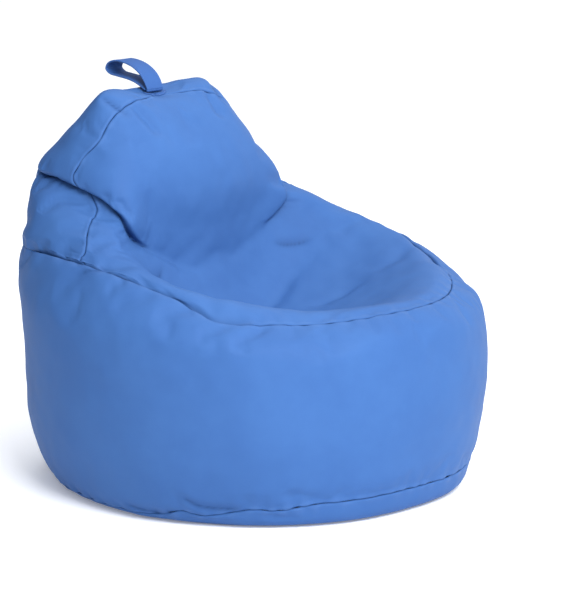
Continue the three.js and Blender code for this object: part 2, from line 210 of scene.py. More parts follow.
@dataclass(frozen=True)
class Leatherette:
    """Smooth coated fabric with a fine pebble grain, with painted shade in its creases and seam grooves and
    lighter raised seam lips (wear and painted highlight).
    """

    name: str = "leatherette"
    colour: Colour = (0.036, 0.100, 0.278)
    tint: Colour = (0.041, 0.112, 0.301)
    # dark blue of the grain flecks, and of the painted shade in creases and seam grooves
    crease: Colour = (0.006, 0.022, 0.085)
    # lighter blue of raised seam lips and strap edges: wear, and painted highlight
    wear_and_highlight: Colour = (0.060, 0.136, 0.335)
    rough: float = 0.58
    grain: float = 1100.0  # pebbles in a metre
    depth: float = 0.10 * MM

    def material(self) -> bpy.types.Material:
        """Make the material."""
        d = Dresser(self.name, {"Specular IOR Level": 0.08})
        cloud = d.noise(7, 4)
        patch = d.noise(45, 3)
        speck = d.noise(self.grain * 1.7, 2)
        base = d.mix(d.band(cloud * 0.7 + patch * 0.3, 0.32, 0.68), self.colour, self.tint)
        grained = d.mix(d.band(speck, 0.35, 0.75) * 0.10, base, self.crease)
        # painted shade: darkened toward the crease colour by the mark along creases and seam grooves
        deep = d.mix(d.mark("painted_crease_shade"), grained, self.crease)
        # lightened toward the lighter blue on raised seam lips and strap edges: wear, and painted highlight
        worn_and_highlit = d.mix(d.mark("edge") * 0.35, deep, self.wear_and_highlight)
        pebble = d.cells(self.grain, "SMOOTH_F1")
        pores = d.noise(self.grain * 2.4, 2)
        height = pebble * 0.75 + pores * 0.25
        rough = self.rough + (patch - 0.5) * 0.10 + (pores - 0.5) * 0.08 - d.mark("edge") * 0.05
        return d.finish(worn_and_highlit, rough, height, self.depth)


@dataclass(frozen=True)
class Woven:
    """Woven cloth, as threads crossing at right angles."""

    name: str
    colour: Colour
    shade: Colour
    pitch: float = 0.9 * MM  # between threads
    rough: float = 0.75
    depth: float = 0.18 * MM
    sheen: float = 0.25

    def material(self) -> bpy.types.Material:
        """Make the material."""
        d = Dresser(self.name, {"Specular IOR Level": 0.3, "Sheen Weight": self.sheen})
        turns = 1 / self.pitch
        waves = [
            d.node(
                "ShaderNodeTexWave",
                {"bands_direction": axis, "wave_profile": "SIN"},
                {"Vector": d.place, "Scale": turns * 0.314, "Distortion": 0.4, "Detail": 1.0},
                out="Fac",
            )
            for axis in ("X", "Y", "Z")
        ]
        weave = waves[0] * 0.33 + waves[1] * 0.33 + waves[2] * 0.34
        fibre = d.noise(2600, 3)
        cloud = d.noise(30, 3)
        colour = d.mix(d.band(weave + (cloud - 0.5) * 0.3, 0.25, 0.75), self.shade, self.colour)
        return d.finish(colour, self.rough + (fibre - 0.5) * 0.16, weave * 0.8 + fibre * 0.2, self.depth)


@dataclass(frozen=True)
class Metal:
    """Die-cast and pressed metal with fine scratches and tumbled edges."""

    name: str = "nickel"
    colour: Colour = (0.62, 0.63, 0.65)
    dark: Colour = (0.36, 0.37, 0.39)
    rough: float = 0.27

    def material(self) -> bpy.types.Material:
        """Make the material."""
        d = Dresser(self.name, {"Metallic": 1.0})
        smear = d.noise(180, 4)
        pit = d.noise(2400, 2)
        drawn = d.node("ShaderNodeMapping", None, {"Vector": d.place, "Scale": (60.0, 60.0, 2600.0)})
        scratch = d.node("ShaderNodeTexNoise", None, {"Vector": drawn, "Scale": 1.0, "Detail": 2.0})
        colour = d.mix(d.band(smear, 0.35, 0.7), self.colour, self.dark)
        rough = self.rough + (smear - 0.5) * 0.18 + (scratch - 0.5) * 0.14
        return d.finish(colour, rough, pit * 0.5 + scratch * 0.5, 0.03 * MM)


@dataclass(frozen=True)
class Moulded:
    """Moulded plastic with a faint spark-eroded texture."""

    name: str
    colour: Colour
    shade: Colour
    rough: float = 0.42

    def material(self) -> bpy.types.Material:
        """Make the material."""
        d = Dresser(self.name, {"Specular IOR Level": 0.5})
        flow = d.noise(260, 3)
        spark = d.noise(3800, 2)
        colour = d.mix(d.band(flow, 0.3, 0.75), self.colour, self.shade)
        return d.finish(colour, self.rough + (spark - 0.5) * 0.2 + (flow - 0.5) * 0.1, spark, 0.04 * MM)


@dataclass(frozen=True)
class Beads:
    """Packed expanded beads, each a small matt ball, with painted shade in the gaps between them."""

    name: str = "beads"
    colour: Colour = (0.90, 0.90, 0.88)
    # grey between the beads: painted shade in the gaps
    gap: Colour = (0.52, 0.53, 0.54)
    bead: float = 4.5 * MM

    def material(self) -> bpy.types.Material:
        """Make the material."""
        d = Dresser(self.name, {"Subsurface Weight": 0.08, "Specular IOR Level": 0.25})
        ball = d.cells(1 / self.bead)
        skin = d.noise(1900, 3)
        # darker toward each bead's edge: painted shade where the beads meet
        colour = d.mix(d.band(ball, 0.35, 0.8), self.colour, self.gap)
        return d.finish(colour, 0.85 + (skin - 0.5) * 0.15, 1 - ball + skin * 0.1, 1.2 * MM)


@dataclass(frozen=True)
class Backdrop:
    """Pale seamless floor."""

    name: str = "floor"
    colour: Colour = (0.93, 0.94, 0.96)

    def material(self) -> bpy.types.Material:
        """Make the material."""
        glow = {"Emission Color": (0.97, 0.98, 1.0, 1), "Emission Strength": 0.17}
        d = Dresser(self.name, {"Specular IOR Level": 0.1, **glow})
        cloud = d.noise(1.5, 2)
        dust = d.noise(90, 2)
        colour = d.mix(cloud * 0.15, self.colour, (0.90, 0.91, 0.93))
        return d.finish(colour, 0.6 + (dust - 0.5) * 0.08, dust, 0.02 * MM)


# ---------------------------------------------------------------- the bag's form
def with_ends(knots: Array) -> Array:
    """The knots with one more past each end, in line with the last two."""
    return np.concatenate([[2 * knots[0] - knots[1]], knots, [2 * knots[-1] - knots[-2]]])


def blend(a: Array, b: Array, c: Array, d: Array, w: Array) -> Array:
    """Point at share w of the way from b to c, on a smooth curve through all four."""
    return b + 0.5 * w * (c - a + w * (2 * a - 5 * b + 4 * c - d + w * (3 * (b - c) + d - a)))


def travel(line: Array) -> Array:
    """Distance along a line at each of its points."""
    return np.concatenate([[0], np.cumsum(np.linalg.norm(np.diff(line, axis=0), axis=1))])


def bell(x: Array) -> Array:
    """Rounded bump: 1 at 0 and near 0 past 2."""
    return np.exp(-(x**2))


def ease(x: Array) -> Array:
    """Smooth step from 0 at 0 to 1 at 1."""
    t = np.clip(x, 0, 1)
    return t * t * (3 - 2 * t)


class BagForm:
    """Outer face of the filled bag, as a smooth surface over turn u and row v."""

    # front [y, z], side [x, y, z], rear [y, z], then corrections at 45 and 135 degrees
    RINGS = (
        ((-360, 0), (352, 0, 0), (353, 0)),
        ((-379, 8), (372, 0, 8), (374, 8)),
        ((-389, 30), (385, 0, 30), (388, 30)),
        ((-402, 105), (404, 0, 105), (412, 105)),
        ((-410, 195), (415, 0, 200), (412, 200), (0, 0, 0), (2, 2, 0)),
        ((-402, 278), (418, 0, 290), (412, 295), (0, 0, -6), (4, 6, 0)),
        ((-384, 325), (405, 0, 352), (412, 360), (2, -2, -14), (12, 16, 0)),
        ((-350, 350), (360, 14, 413), (412, 415), (-2, 2, -30), (22, 25, 6)),
        ((-290, 345), (346, 38, 424), (412, 445), (0, 0, -18), (23, 24, 10)),
        ((-190, 312), (337, 55, 430), (412, 470), (0, 0, -8), (20, 21, 14)),
        ((-70, 285), (320, 80, 442), (412, 497), (0, 0, -6), (18, 19, 17)),
        ((45, 298), (300, 108, 458), (412, 522), (0, 0, 0), (20, 18, 20)),
        ((102, 365), (270, 132, 478), (407, 544), (0, 0, 0), (31, 18, 18)),
        ((115, 435), (236, 150, 496), (396, 565), (0, 0, 0), (45, 18, 14)),
        ((112, 515), (222, 172, 545), (372, 604), (0, 0, 0), (36, 8, 2)),
        ((140, 590), (192, 208, 608), (326, 648), (0, 0, 0), (24, 5, 4)),
        ((200, 660), (132, 250, 688), (285, 684)),
        ((250, 672), (0, 250, 672), (250, 672)),
    )
    SEAM_ROW = 2.0
    RIM_ROW = 7.0
    COLLAR_ROW = 16.9
    PATCH_ROW = COLLAR_ROW - 0.12  # the edge of the handle patch
    # how far, in rows, each ring seam wanders at a turn in degrees
    BASE_WANDER = (
        (-180, 0), (-155, 0), (-140, -0.2), (-115, -0.6), (-100, -0.8), (-86, -0.78), (-79, -0.72),
        (-70, 0), (-65, -0.3), (-52, 0.15), (-46, 0.08), (-37, 0.23), (-16, 0.27), (8, 0.25), (40, 0.2),
        (80, 0.1), (110, -0.15), (140, 0), (180, 0),
    )
    RIM_WANDER = ((-180, 0), (-90, 0), (-72, -0.05), (-66, -0.25), (-61, -0.45), (-55, -0.35), (-46, -0.12),
                  (-38, 0), (180, 0))
    WANDER_REACH = 0.9  # rows beside a ring seam that are led along with it
    TOP_ROW = 17.0
    # each long side seam: row, degrees from the front
    SIDE_SEAM = (
        (7, 101), (8, 101), (9.3, 99), (12.5, 96), (13, 97), (13.5, 103), (14, 110), (14.6, 104),
        (15.3, 82), (15.8, 52), (16.2, 37), (16.55, 31), (17, 28),
    )

    def __init__(self) -> None:
        """Size the form from the frame."""
        self.grow = np.ones(3) * MM
        self.keys = self._keys()
        lo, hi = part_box("wall_panel")
        rows, turns = np.meshgrid(np.linspace(2, 7, 60), np.linspace(-180, 180, 145) * DEG, indexing="ij")
        shape = self.point(turns, rows)
        size = shape.max((0, 1)) - shape.min((0, 1))
        self.grow[:2] *= (np.array(hi - lo) / size)[:2]
        turns = np.arange(48) * 7.5 * DEG
        patch_edge = self.point(turns, np.full(48, self.PATCH_ROW))[:, 2].min()
        self.grow[2] *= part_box("handle_patch")[0].z / patch_edge
        self.keys = self._keys()
        seam = np.array(self.SIDE_SEAM, float)
        fine = np.linspace(seam[0, 0] - 0.3, 17.3, 600)
        turn = np.interp(fine, seam[:, 0], seam[:, 1])
        soft = np.convolve(np.pad(turn, 6, mode="edge"), np.ones(13) / 13, "valid")
        self._seam = (fine, soft * DEG)

    def _keys(self) -> Array:
        """Five points on each ring, with one extra ring past each end."""
        keys = []
        for ring in self.RINGS:
            front, side, rear, *more = ring
            first, second = (*more, (0, 0, 0), (0, 0, 0))[:2]

            def diagonal(end: Sequence[float], add: Sequence[float]) -> list[float]:
                """Point between the side and one end."""
                return [
                    side[0] * SLANT + add[0],
                    side[1] + (end[0] - side[1]) * SLANT + add[1],
                    (side[2] + end[1]) / 2 + add[2],
                ]

            near, far = diagonal(front, first), diagonal(rear, second)
            keys.append([[0, *front], near, list(side), far, [0, *rear]])
        return with_ends(np.array(keys, float) * self.grow)

    def point(self, u: Array, v: Array) -> Array:
        """Points of the face.

        Args:
            u: Turns in radians from the front.
            v: Rows; below 0 is the flat base.

        Returns:
            Points, with a last axis of three.
        """
        u, v = np.broadcast_arrays(np.asarray(u, float), np.asarray(v, float))
        flat = np.clip(1 + np.minimum(v, 0), 0, 1)[..., None]
        row = np.clip(self.wander(u, v), 0, self.TOP_ROW)
        i = np.minimum(np.floor(row).astype(int), len(self.RINGS) - 2)
        w = (row - i)[..., None, None]
        p = blend(*(self.keys[i + k] for k in range(4)), w)
        x1, x2, x3 = p[..., 1, 0], p[..., 2, 0], p[..., 3, 0]
        x = ((x1 + x3) * SLANT + x2) / 2 * np.sin(u) + (x1 - x3) / 2 * np.sin(2 * u)
        x = x + ((x1 + x3) * SLANT - x2) / 2 * np.sin(3 * u)
        ends = np.array([0.5, 1, 1, 1, 0.5])
        waves = np.cos(np.pi * np.outer(range(5), range(5)) / 4) * np.outer(ends, ends) / 2
        cosines = np.cos(u[..., None] * np.arange(5))
        yz = np.einsum("...mk,nm,...n->...k", p[..., 1:], waves, cosines)
        face = np.concatenate([x[..., None], yz], -1)
        low = face * np.array([1, 1, 0])
        return np.where((v < 0)[..., None], low * flat, face)

    def wander(self, u: Array, v: Array) -> Array:
        """Rows with the two ring seams led off their level lines."""
        turn = np.mod(np.degrees(u) + 180, 360) - 180
        for row, table in ((self.SEAM_ROW, self.BASE_WANDER), (self.RIM_ROW, self.RIM_WANDER)):
            knots, sizes = np.array(table, float).T
            move = sum(np.interp(turn + step, knots, sizes) for step in (-1.5, 0, 1.5)) / 3
            v = v + move * bell((v - row) / self.WANDER_REACH)
        return v

    def axes(self, u: Array, v: Array) -> tuple[Array, Array, Array]:
        """Unit directions along the turn, up the rows and outward at each place."""
        step = 0.01
        at = np.minimum(v, self.TOP_ROW - 0.06)
        du = self.point(u + step, at) - self.point(u - step, at)
        dv = self.point(u, at + step) - self.point(u, np.maximum(at - step, 0))
        out = np.cross(du, dv)
        out /= np.linalg.norm(out, axis=-1, keepdims=True) + 1e-12
        out = np.where((v < 0)[..., None], np.array([0, 0, -1.0]), out)
        du /= np.linalg.norm(du, axis=-1, keepdims=True) + 1e-12
        return du, np.cross(out, du), out

    def side_seam(self, v: Array) -> Array:
        """Turn of the right side seam at each row, in radians."""
        return np.interp(v, *self._seam)

    def turn_at_x(self, x: float, v: Array) -> Array:
        """Turn near the rear where the face is x from the middle plane, for each row."""
        swing = np.linspace(0, 0.9, 200)
        reach = self.point(math.pi - swing[None], np.asarray(v)[:, None])[..., 0]
        return np.array([math.pi - np.interp(x, r, swing) for r in reach])

    def row_at_rear(self, z: float) -> float:
        """Row where the rear of the bag is z high."""
        rows = np.linspace(1, 16, 600)
        return float(np.interp(z, self.point(np.full(600, math.pi), rows)[:, 2], rows))


class Fold(Enum):
    """How the fabric turns at a line."""

    SOFT = "rounded valley"
    SHARP = "tight line with soft shoulders"
    SEAM = "two panel edges turned in against each other"
    LAP = "upper side hanging over the lower one"


@dataclass(frozen=True)
class Crease:
    """A line pressed into the cover; sizes in millimetres, places in degrees and rows."""

    kind: Fold
    path: tuple[tuple[float, float], ...]
    depth: float
    width: float
    lip: float = 0.0
    lap: float = 0.0
    fade: float = 0.35
    pucker: float = 0.0

    def mirrored(self, share: float = 1.0) -> "Crease":
        """The same line on the other side of the bag, at a share of its depth."""
        path = tuple((-u, v) for u, v in reversed(self.path))
        return Crease(
            self.kind, path, self.depth * share, self.width, self.lip * share, self.lap * share,
            self.fade, self.pucker,
        )


SOFT, SHARP, SEAM, LAP = Fold
SHOULDER = Crease(
    LAP,
    ((-152, 12.75), (-146, 12.82), (-141, 12.9), (-127, 13.4), (-114, 13.56), (-96, 13.48),
     (-84, 13.22), (-72, 12.96), (-58, 12.6), (-44, 12.35), (-30, 12.2)),
    15, 14, 4, 11, 0.2,
)
ARM = Crease(
    LAP, ((-48, 7.06), (-62, 7.06), (-80, 7.06), (-100, 7.06), (-112, 7.04), (-122, 7.0), (-129, 6.95)),
    9, 13, 5, 6, 0.13,
)
CREASES = (
    SHOULDER,
    SHOULDER.mirrored(0.85),
    ARM,
    ARM.mirrored(0.8),
    Crease(SHARP, ((-137, 12.95), (-132, 13.2), (-126, 13.62)), 5, 6, 1),
    Crease(SHARP, ((-92, 7.04), (-92.5, 7.5), (-93.5, 8.3)), 4, 6, 1),
    Crease(SHARP, ((-103, 6.6), (-97, 6.88), (-92, 7.0)), 3, 7, 1),
    Crease(SHARP, ((-70, 1.98), (-76, 2.14), (-83, 2.4), (-88, 2.55)), 3.5, 8, 1, fade=0.25),
    Crease(SHARP, ((-52, 1.98), (-57, 2.12), (-64, 2.35), (-71, 2.5)), 3.5, 8, 1, fade=0.25),
    Crease(SOFT, ((-51, 1.95), (-46, 1.7), (-38, 1.5)), 3, 9),
    Crease(SOFT, ((-33, 2.05), (-39, 2.3), (-44, 2.5)), 2, 10),
    Crease(SOFT, ((24, 2.05), (18, 2.3), (12, 2.5)), 2, 10),
    Crease(SOFT, ((-108, 6.35), (-100, 6.62), (-92, 6.55)), 4, 12),
    Crease(SOFT, ((-90, 6.2), (-83, 6.55), (-77, 6.85)), 5, 11),
    Crease(SOFT, ((-78, 6.25), (-72, 6.6), (-67, 6.92)), 4, 10),
    Crease(SOFT, ((-66, 6.3), (-60, 6.65), (-55, 6.9)), 4, 10),
    Crease(SOFT, ((-54, 6.35), (-49, 6.7), (-45, 6.92)), 3, 10),
    Crease(SHARP, ((-98, 15.9), (-68, 15.76), (-48, 15.55)), 5, 8, 1.5),
    Crease(SOFT, ((-52, 16.1), (-42, 15.8), (-33, 15.5), (-26, 15.1)), 10, 14),
    Crease(SOFT, ((-54, 15.2), (-46, 14.85), (-38, 14.4)), 5, 20),
    Crease(SOFT, ((-24, 15.9), (-20, 15.4), (-22, 14.8)), 4, 14),
    Crease(SOFT, ((56, 10.5), (64, 10.4), (74, 10.3)), 3, 16),
    Crease(SHARP, ((98, 15.85), (70, 15.8), (50, 15.6)), 4, 8, 1),
    Crease(SOFT, ((50, 16.0), (40, 15.7), (30, 15.3)), 8, 15),
    Crease(SOFT, ((-58, 10.5), (-36, 10.75), (-14, 10.85), (8, 10.8), (30, 10.85), (56, 10.6)), 9, 22),
    Crease(SHARP, ((-52, 10.9), (-38, 11.3), (-30, 11.9)), 4, 9, 1),
    Crease(SHARP, ((50, 10.95), (40, 11.35), (33, 11.8)), 4, 9, 1),
    Crease(SOFT, ((-30, 9.6), (-18, 9.9), (-8, 10.4)), 4, 15),
    Crease(SOFT, ((34, 9.4), (20, 9.8), (12, 10.3)), 4, 15),
    Crease(SOFT, ((-60, 8.4), (-46, 8.7), (-34, 9.3)), 4, 16),
    Crease(SOFT, ((62, 8.5), (48, 8.8), (36, 9.4)), 4, 16),
    Crease(SOFT, ((150, 8.0), (138, 8.6), (126, 9.0)), 4, 16),
    Crease(SOFT, ((-148, 8.2), (-136, 8.7), (-124, 9.2)), 4, 16),
    Crease(SHARP, ((172, 13.0), (158, 13.1), (146, 12.9)), 4, 9, 1),
    Crease(SHARP, ((-172, 12.7), (-160, 12.8), (-150, 12.6)), 4, 9, 1),
    Crease(SOFT, ((176, 14.4), (160, 14.7), (140, 14.6)), 5, 16),
    Crease(SOFT, ((-176, 14.7), (-158, 15.0), (-138, 14.8)), 5, 16),
)


class Ripple:
    """Smooth random waves with a fixed seed."""

    def __init__(self, seed: int, shortest: float, longest: float, dims: int, count: int = 28) -> None:
        """Draw the waves.

        Args:
            seed: Seed of the draws.
            shortest: Shortest wavelength in metres.
            longest: Longest wavelength in metres.
            dims: 1 along a line, 3 in space.
            count: How many waves are added.
        """
        rng = np.random.RandomState(seed)
        way = rng.normal(size=(count, dims))
        way /= np.linalg.norm(way, axis=1, keepdims=True)
        self.pace = way * (TAU / rng.uniform(shortest, longest, (count, 1)))
        self.phase = rng.uniform(0, TAU, count)

    def at(self, places: Array) -> Array:
        """Height of the waves, mostly within -1 and 1."""
        flat = places.reshape(-1, self.pace.shape[1])
        total = np.cos(flat @ self.pace.T + self.phase).sum(1) * math.sqrt(1.1 / len(self.phase))
        return total.reshape(places.shape[:-1])


class CreaseLine:
    """A crease traced on the form, ready to be measured from."""

    def __init__(self, form: BagForm, crease: Crease, seed: int) -> None:
        """Trace the line.

        Args:
            form: The bag's face.
            crease: The line and its sizes.
            seed: Seed of its puckers.
        """
        self.crease = crease
        knots = np.array(crease.path, float)
        t = np.linspace(0, len(knots) - 1, 60 * (len(knots) - 1) + 1)
        ghost = with_ends(knots)
        i = np.minimum(t.astype(int), len(knots) - 2)
        line = blend(*(ghost[i + k] for k in range(4)), (t - i)[:, None])
        u, v = line[:, 0] * DEG, line[:, 1]
        run = travel(form.point(u, v))
        self.length = run[-1]
        even = np.linspace(0, self.length, max(int(self.length / (2.5 * MM)), 12))
        self.along = even
        turn, row = np.interp(even, run, u), np.interp(even, run, v)
        self.points = form.point(turn, row)
        way = np.gradient(self.points, axis=0)
        self.way = way / (np.linalg.norm(way, axis=1, keepdims=True) + 1e-12)
        self.across = np.cross(form.axes(turn, row)[2], self.way)
        self.waves = Ripple(seed, 22 * MM, 60 * MM, 1, 12)

    def measure(self, places: Array) -> tuple[Array, Array, Array]:
        """Signed distance across, distance along and share of the length, for flat places."""
        near = np.empty(len(places), int)
        size = (self.points**2).sum(1)
        for start in range(0, len(places), 20000):
            part = places[start : start + 20000]
            near[start : start + 20000] = (size - 2 * part @ self.points.T).argmin(1)
        gap = places - self.points[near]
        ahead = (gap * self.way[near]).sum(1)
        rest = gap - ahead[:, None] * self.way[near]
        side = np.sign((gap * self.across[near]).sum(1))
        side[side == 0] = 1
        along = self.along[near] + ahead
        return side * np.linalg.norm(rest, axis=1), along, self.across[near]

    def press(self, places: Array, inside: bool = False) -> tuple[Array, Array, Array]:
        """What the line does at each place.

        Args:
            places: Points on the smooth form.
            inside: True for the pieces under the cover, where a lap is one wide valley.

        Returns:
            The height it adds, the sideways shift, and how deep in the line each place is.
        """
        k = self.crease
        s, along, across = self.measure(places)
        share = along / self.length
        if k.kind is SEAM:
            taper = k.fade * self.length + MM
            hold = ease((along + 5 * MM) / taper) * ease((self.length + 5 * MM - along) / taper)
        else:
            hold = ease(share / k.fade) * ease((1 - share) / k.fade)
        depth, width, lip, lap = k.depth * MM, k.width * MM, k.lip * MM, k.lap * MM
        far = np.abs(s)
        shift = np.zeros_like(s)
        roll = 1 - np.sqrt(np.clip(1 - (1 - np.clip(far / width, 0, 1)) ** 2, 0, 1))
        # the third value darkens the colour as painted shade: none in soft valleys or in laps under the
        # cover, strongest at sharp creases, seams and laps
        if k.kind is LAP and inside:
            height = -1.25 * depth * bell(s / (2.4 * width))
            painted_crease_shade = np.zeros_like(s)
        elif k.kind is SOFT:
            height = -depth * bell(s / width)
            painted_crease_shade = np.zeros_like(s)
        elif k.kind is SHARP:
            height = -depth * np.exp(-far / width) + lip * bell((far - 2 * width) / width)
            painted_crease_shade = 0.5 * np.exp(-far / (0.45 * width))
        elif k.kind is SEAM:
            # the two panels pucker out of step with each other
            waves = self.waves.at((along + 9 * np.sign(s) * MM)[:, None])
            height = -depth * roll + lip * bell((far - 1.3 * width) / (0.8 * width))
            height += k.pucker * MM * np.exp(-far / (3 * width)) * waves
            painted_crease_shade = np.exp(-far / (0.14 * width)) * min(k.depth / 3, 1)
        else:
            over = s >= 0
            upper = -depth * roll + lip * bell((s - 2 * width) / (1.6 * width))
            lower = -depth * np.exp(-far / (1.5 * width))
            height = np.where(over, upper, lower)
            shift = np.where(over, -lap * (s / width) * np.exp(1 - np.clip(s, 0, None) / width), 0)
            painted_crease_shade = np.exp(-far / (0.22 * width))
        return height * hold, (shift * hold)[:, None] * across, painted_crease_shade * hold


class Relief:
    """Everything that the sewn, filled and sat-in cover adds to the smooth form."""

    SWELL = 2.6 * MM  # broad unevenness of the filling
    RIPPLE = 0.55 * MM

    def __init__(self, form: BagForm) -> None:
        """Trace every seam and crease.

        Args:
            form: The bag's face.
        """
        self.form = form
        ring = [float(a) for a in range(-180, 181, 10)]
        rim = tuple((a, form.RIM_ROW) for a in ring)
        base = tuple((a, form.SEAM_ROW) for a in ring)
        rows = np.arange(form.RIM_ROW, form.COLLAR_ROW + 0.01, 0.15)
        right = tuple((math.degrees(float(form.side_seam(r))), float(r)) for r in rows)
        left = tuple((-u, v) for u, v in right)
        zip_lo, zip_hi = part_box("zip_tape_left")
        top = form.row_at_rear(zip_hi.z + 8 * MM)
        low = form.row_at_rear(zip_lo.z - 8 * MM)
        above = ((180.0, top), (180.0, 13.0), (180.0, form.COLLAR_ROW))
        below = ((180.0, form.SEAM_ROW), (180.0, low))
        seams = [
            Crease(SEAM, rim[6:-6], 2.6, 4, lip=0.5, fade=0.06, pucker=0.45),
            Crease(SEAM, rim, 0.6, 1.3, lip=0.1, fade=0, pucker=0.3),
            Crease(SEAM, base, 2.4, 3.4, lip=0.5, fade=0, pucker=0.9),
            Crease(SEAM, right, 2.6, 3.4, lip=0.6, fade=0, pucker=0.5),
            Crease(SEAM, left, 2.6, 3.4, lip=0.6, fade=0, pucker=0.5),
            Crease(SEAM, above, 2.6, 3.4, lip=0.5, fade=0, pucker=0.4),
            Crease(SEAM, below, 2.6, 3.4, lip=0.5, fade=0),
        ]
        self.lines = [CreaseLine(form, c, 31 + k) for k, c in enumerate([*seams, *CREASES])]
        self.swell = Ripple(5, 0.16, 0.5, 3)
        self.ripple = Ripple(6, 0.035, 0.09, 3, 40)
        self.simulated: "Swell | None" = None
        rear = np.array([[0, zip_hi.y, z] for z in np.linspace(zip_lo.z, zip_hi.z + 22 * MM, 60)])
        fittings = ("vent_eyelet_left", "vent_eyelet_right", "care_label")
        spots = np.array([list(sum(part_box(name), Vector()) / 2) for name in fittings])
        lo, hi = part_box("handle_patch")
        patch = np.array([[(lo.x + hi.x) / 2, (lo.y + hi.y) / 2, hi.z]])
        # held places, how far each hold reaches and over what distance it then fades, in metres
        self.held = (
            (rear, 0.014, 0.05),
            (spots, 0.02, 0.03),
            (patch, 0.03, 0.04),
        )

    def calm(self, places: Array) -> Array:
        """1 on free cloth, 0 where a fitting holds it."""
        free = np.ones(len(places))
        for points, near, soft in self.held:
            gap = np.sqrt(((places[:, None] - points[None]) ** 2).sum(-1)).min(1)
            free *= ease((gap - near) / soft)
        return free

    def apply(self, u: Array, v: Array, inside: bool = False) -> tuple[Array, Array, Array, Array]:
        """Points of the finished face.

        Args:
            u: Turns in radians.
            v: Rows.
            inside: True for the pieces under the cover.

        Returns:
            The points, the smooth outward directions, the painted crease shade mark and the edge mark
            (raised seam lips, lightened as wear and painted highlight).
        """
        shape = u.shape
        base = self.form.point(u, v).reshape(-1, 3)
        out = self.form.axes(u, v)[2]
        flat_out = out.reshape(-1, 3)
        height = self.SWELL * self.swell.at(base) + self.RIPPLE * self.ripple.at(base)
        free = self.calm(base)
        ground = ease(v.reshape(-1) / 1.6)
        height = height * free * ground
        shift = np.zeros_like(base)
        painted_crease_shade = np.zeros(len(base))
        edge = np.zeros(len(base))
        for line in self.lines:
            up, side, deep = line.press(base, inside)
            seam = line.crease.kind is SEAM
            hold = ground if seam else ground * free
            height += up * hold
            shift += side * hold[:, None]
            # deep is the painted shade that the line gives; keep the strongest at each place
            painted_crease_shade = np.maximum(painted_crease_shade, deep * hold)
            if seam:
                # raised seam lip: lightened in the material as wear and painted highlight
                edge = np.maximum(edge, np.clip(up / (0.9 * MM), 0, 1) * hold)
        moved = base + flat_out * height[:, None] + shift
        if self.simulated is not None:
            moved += self.simulated.at(u, v).reshape(-1, 3) * (free * ground)[:, None]
        moved[:, 2] = np.maximum(moved[:, 2], 0)
        return moved.reshape(*shape, 3), out, painted_crease_shade.reshape(shape), edge.reshape(shape)


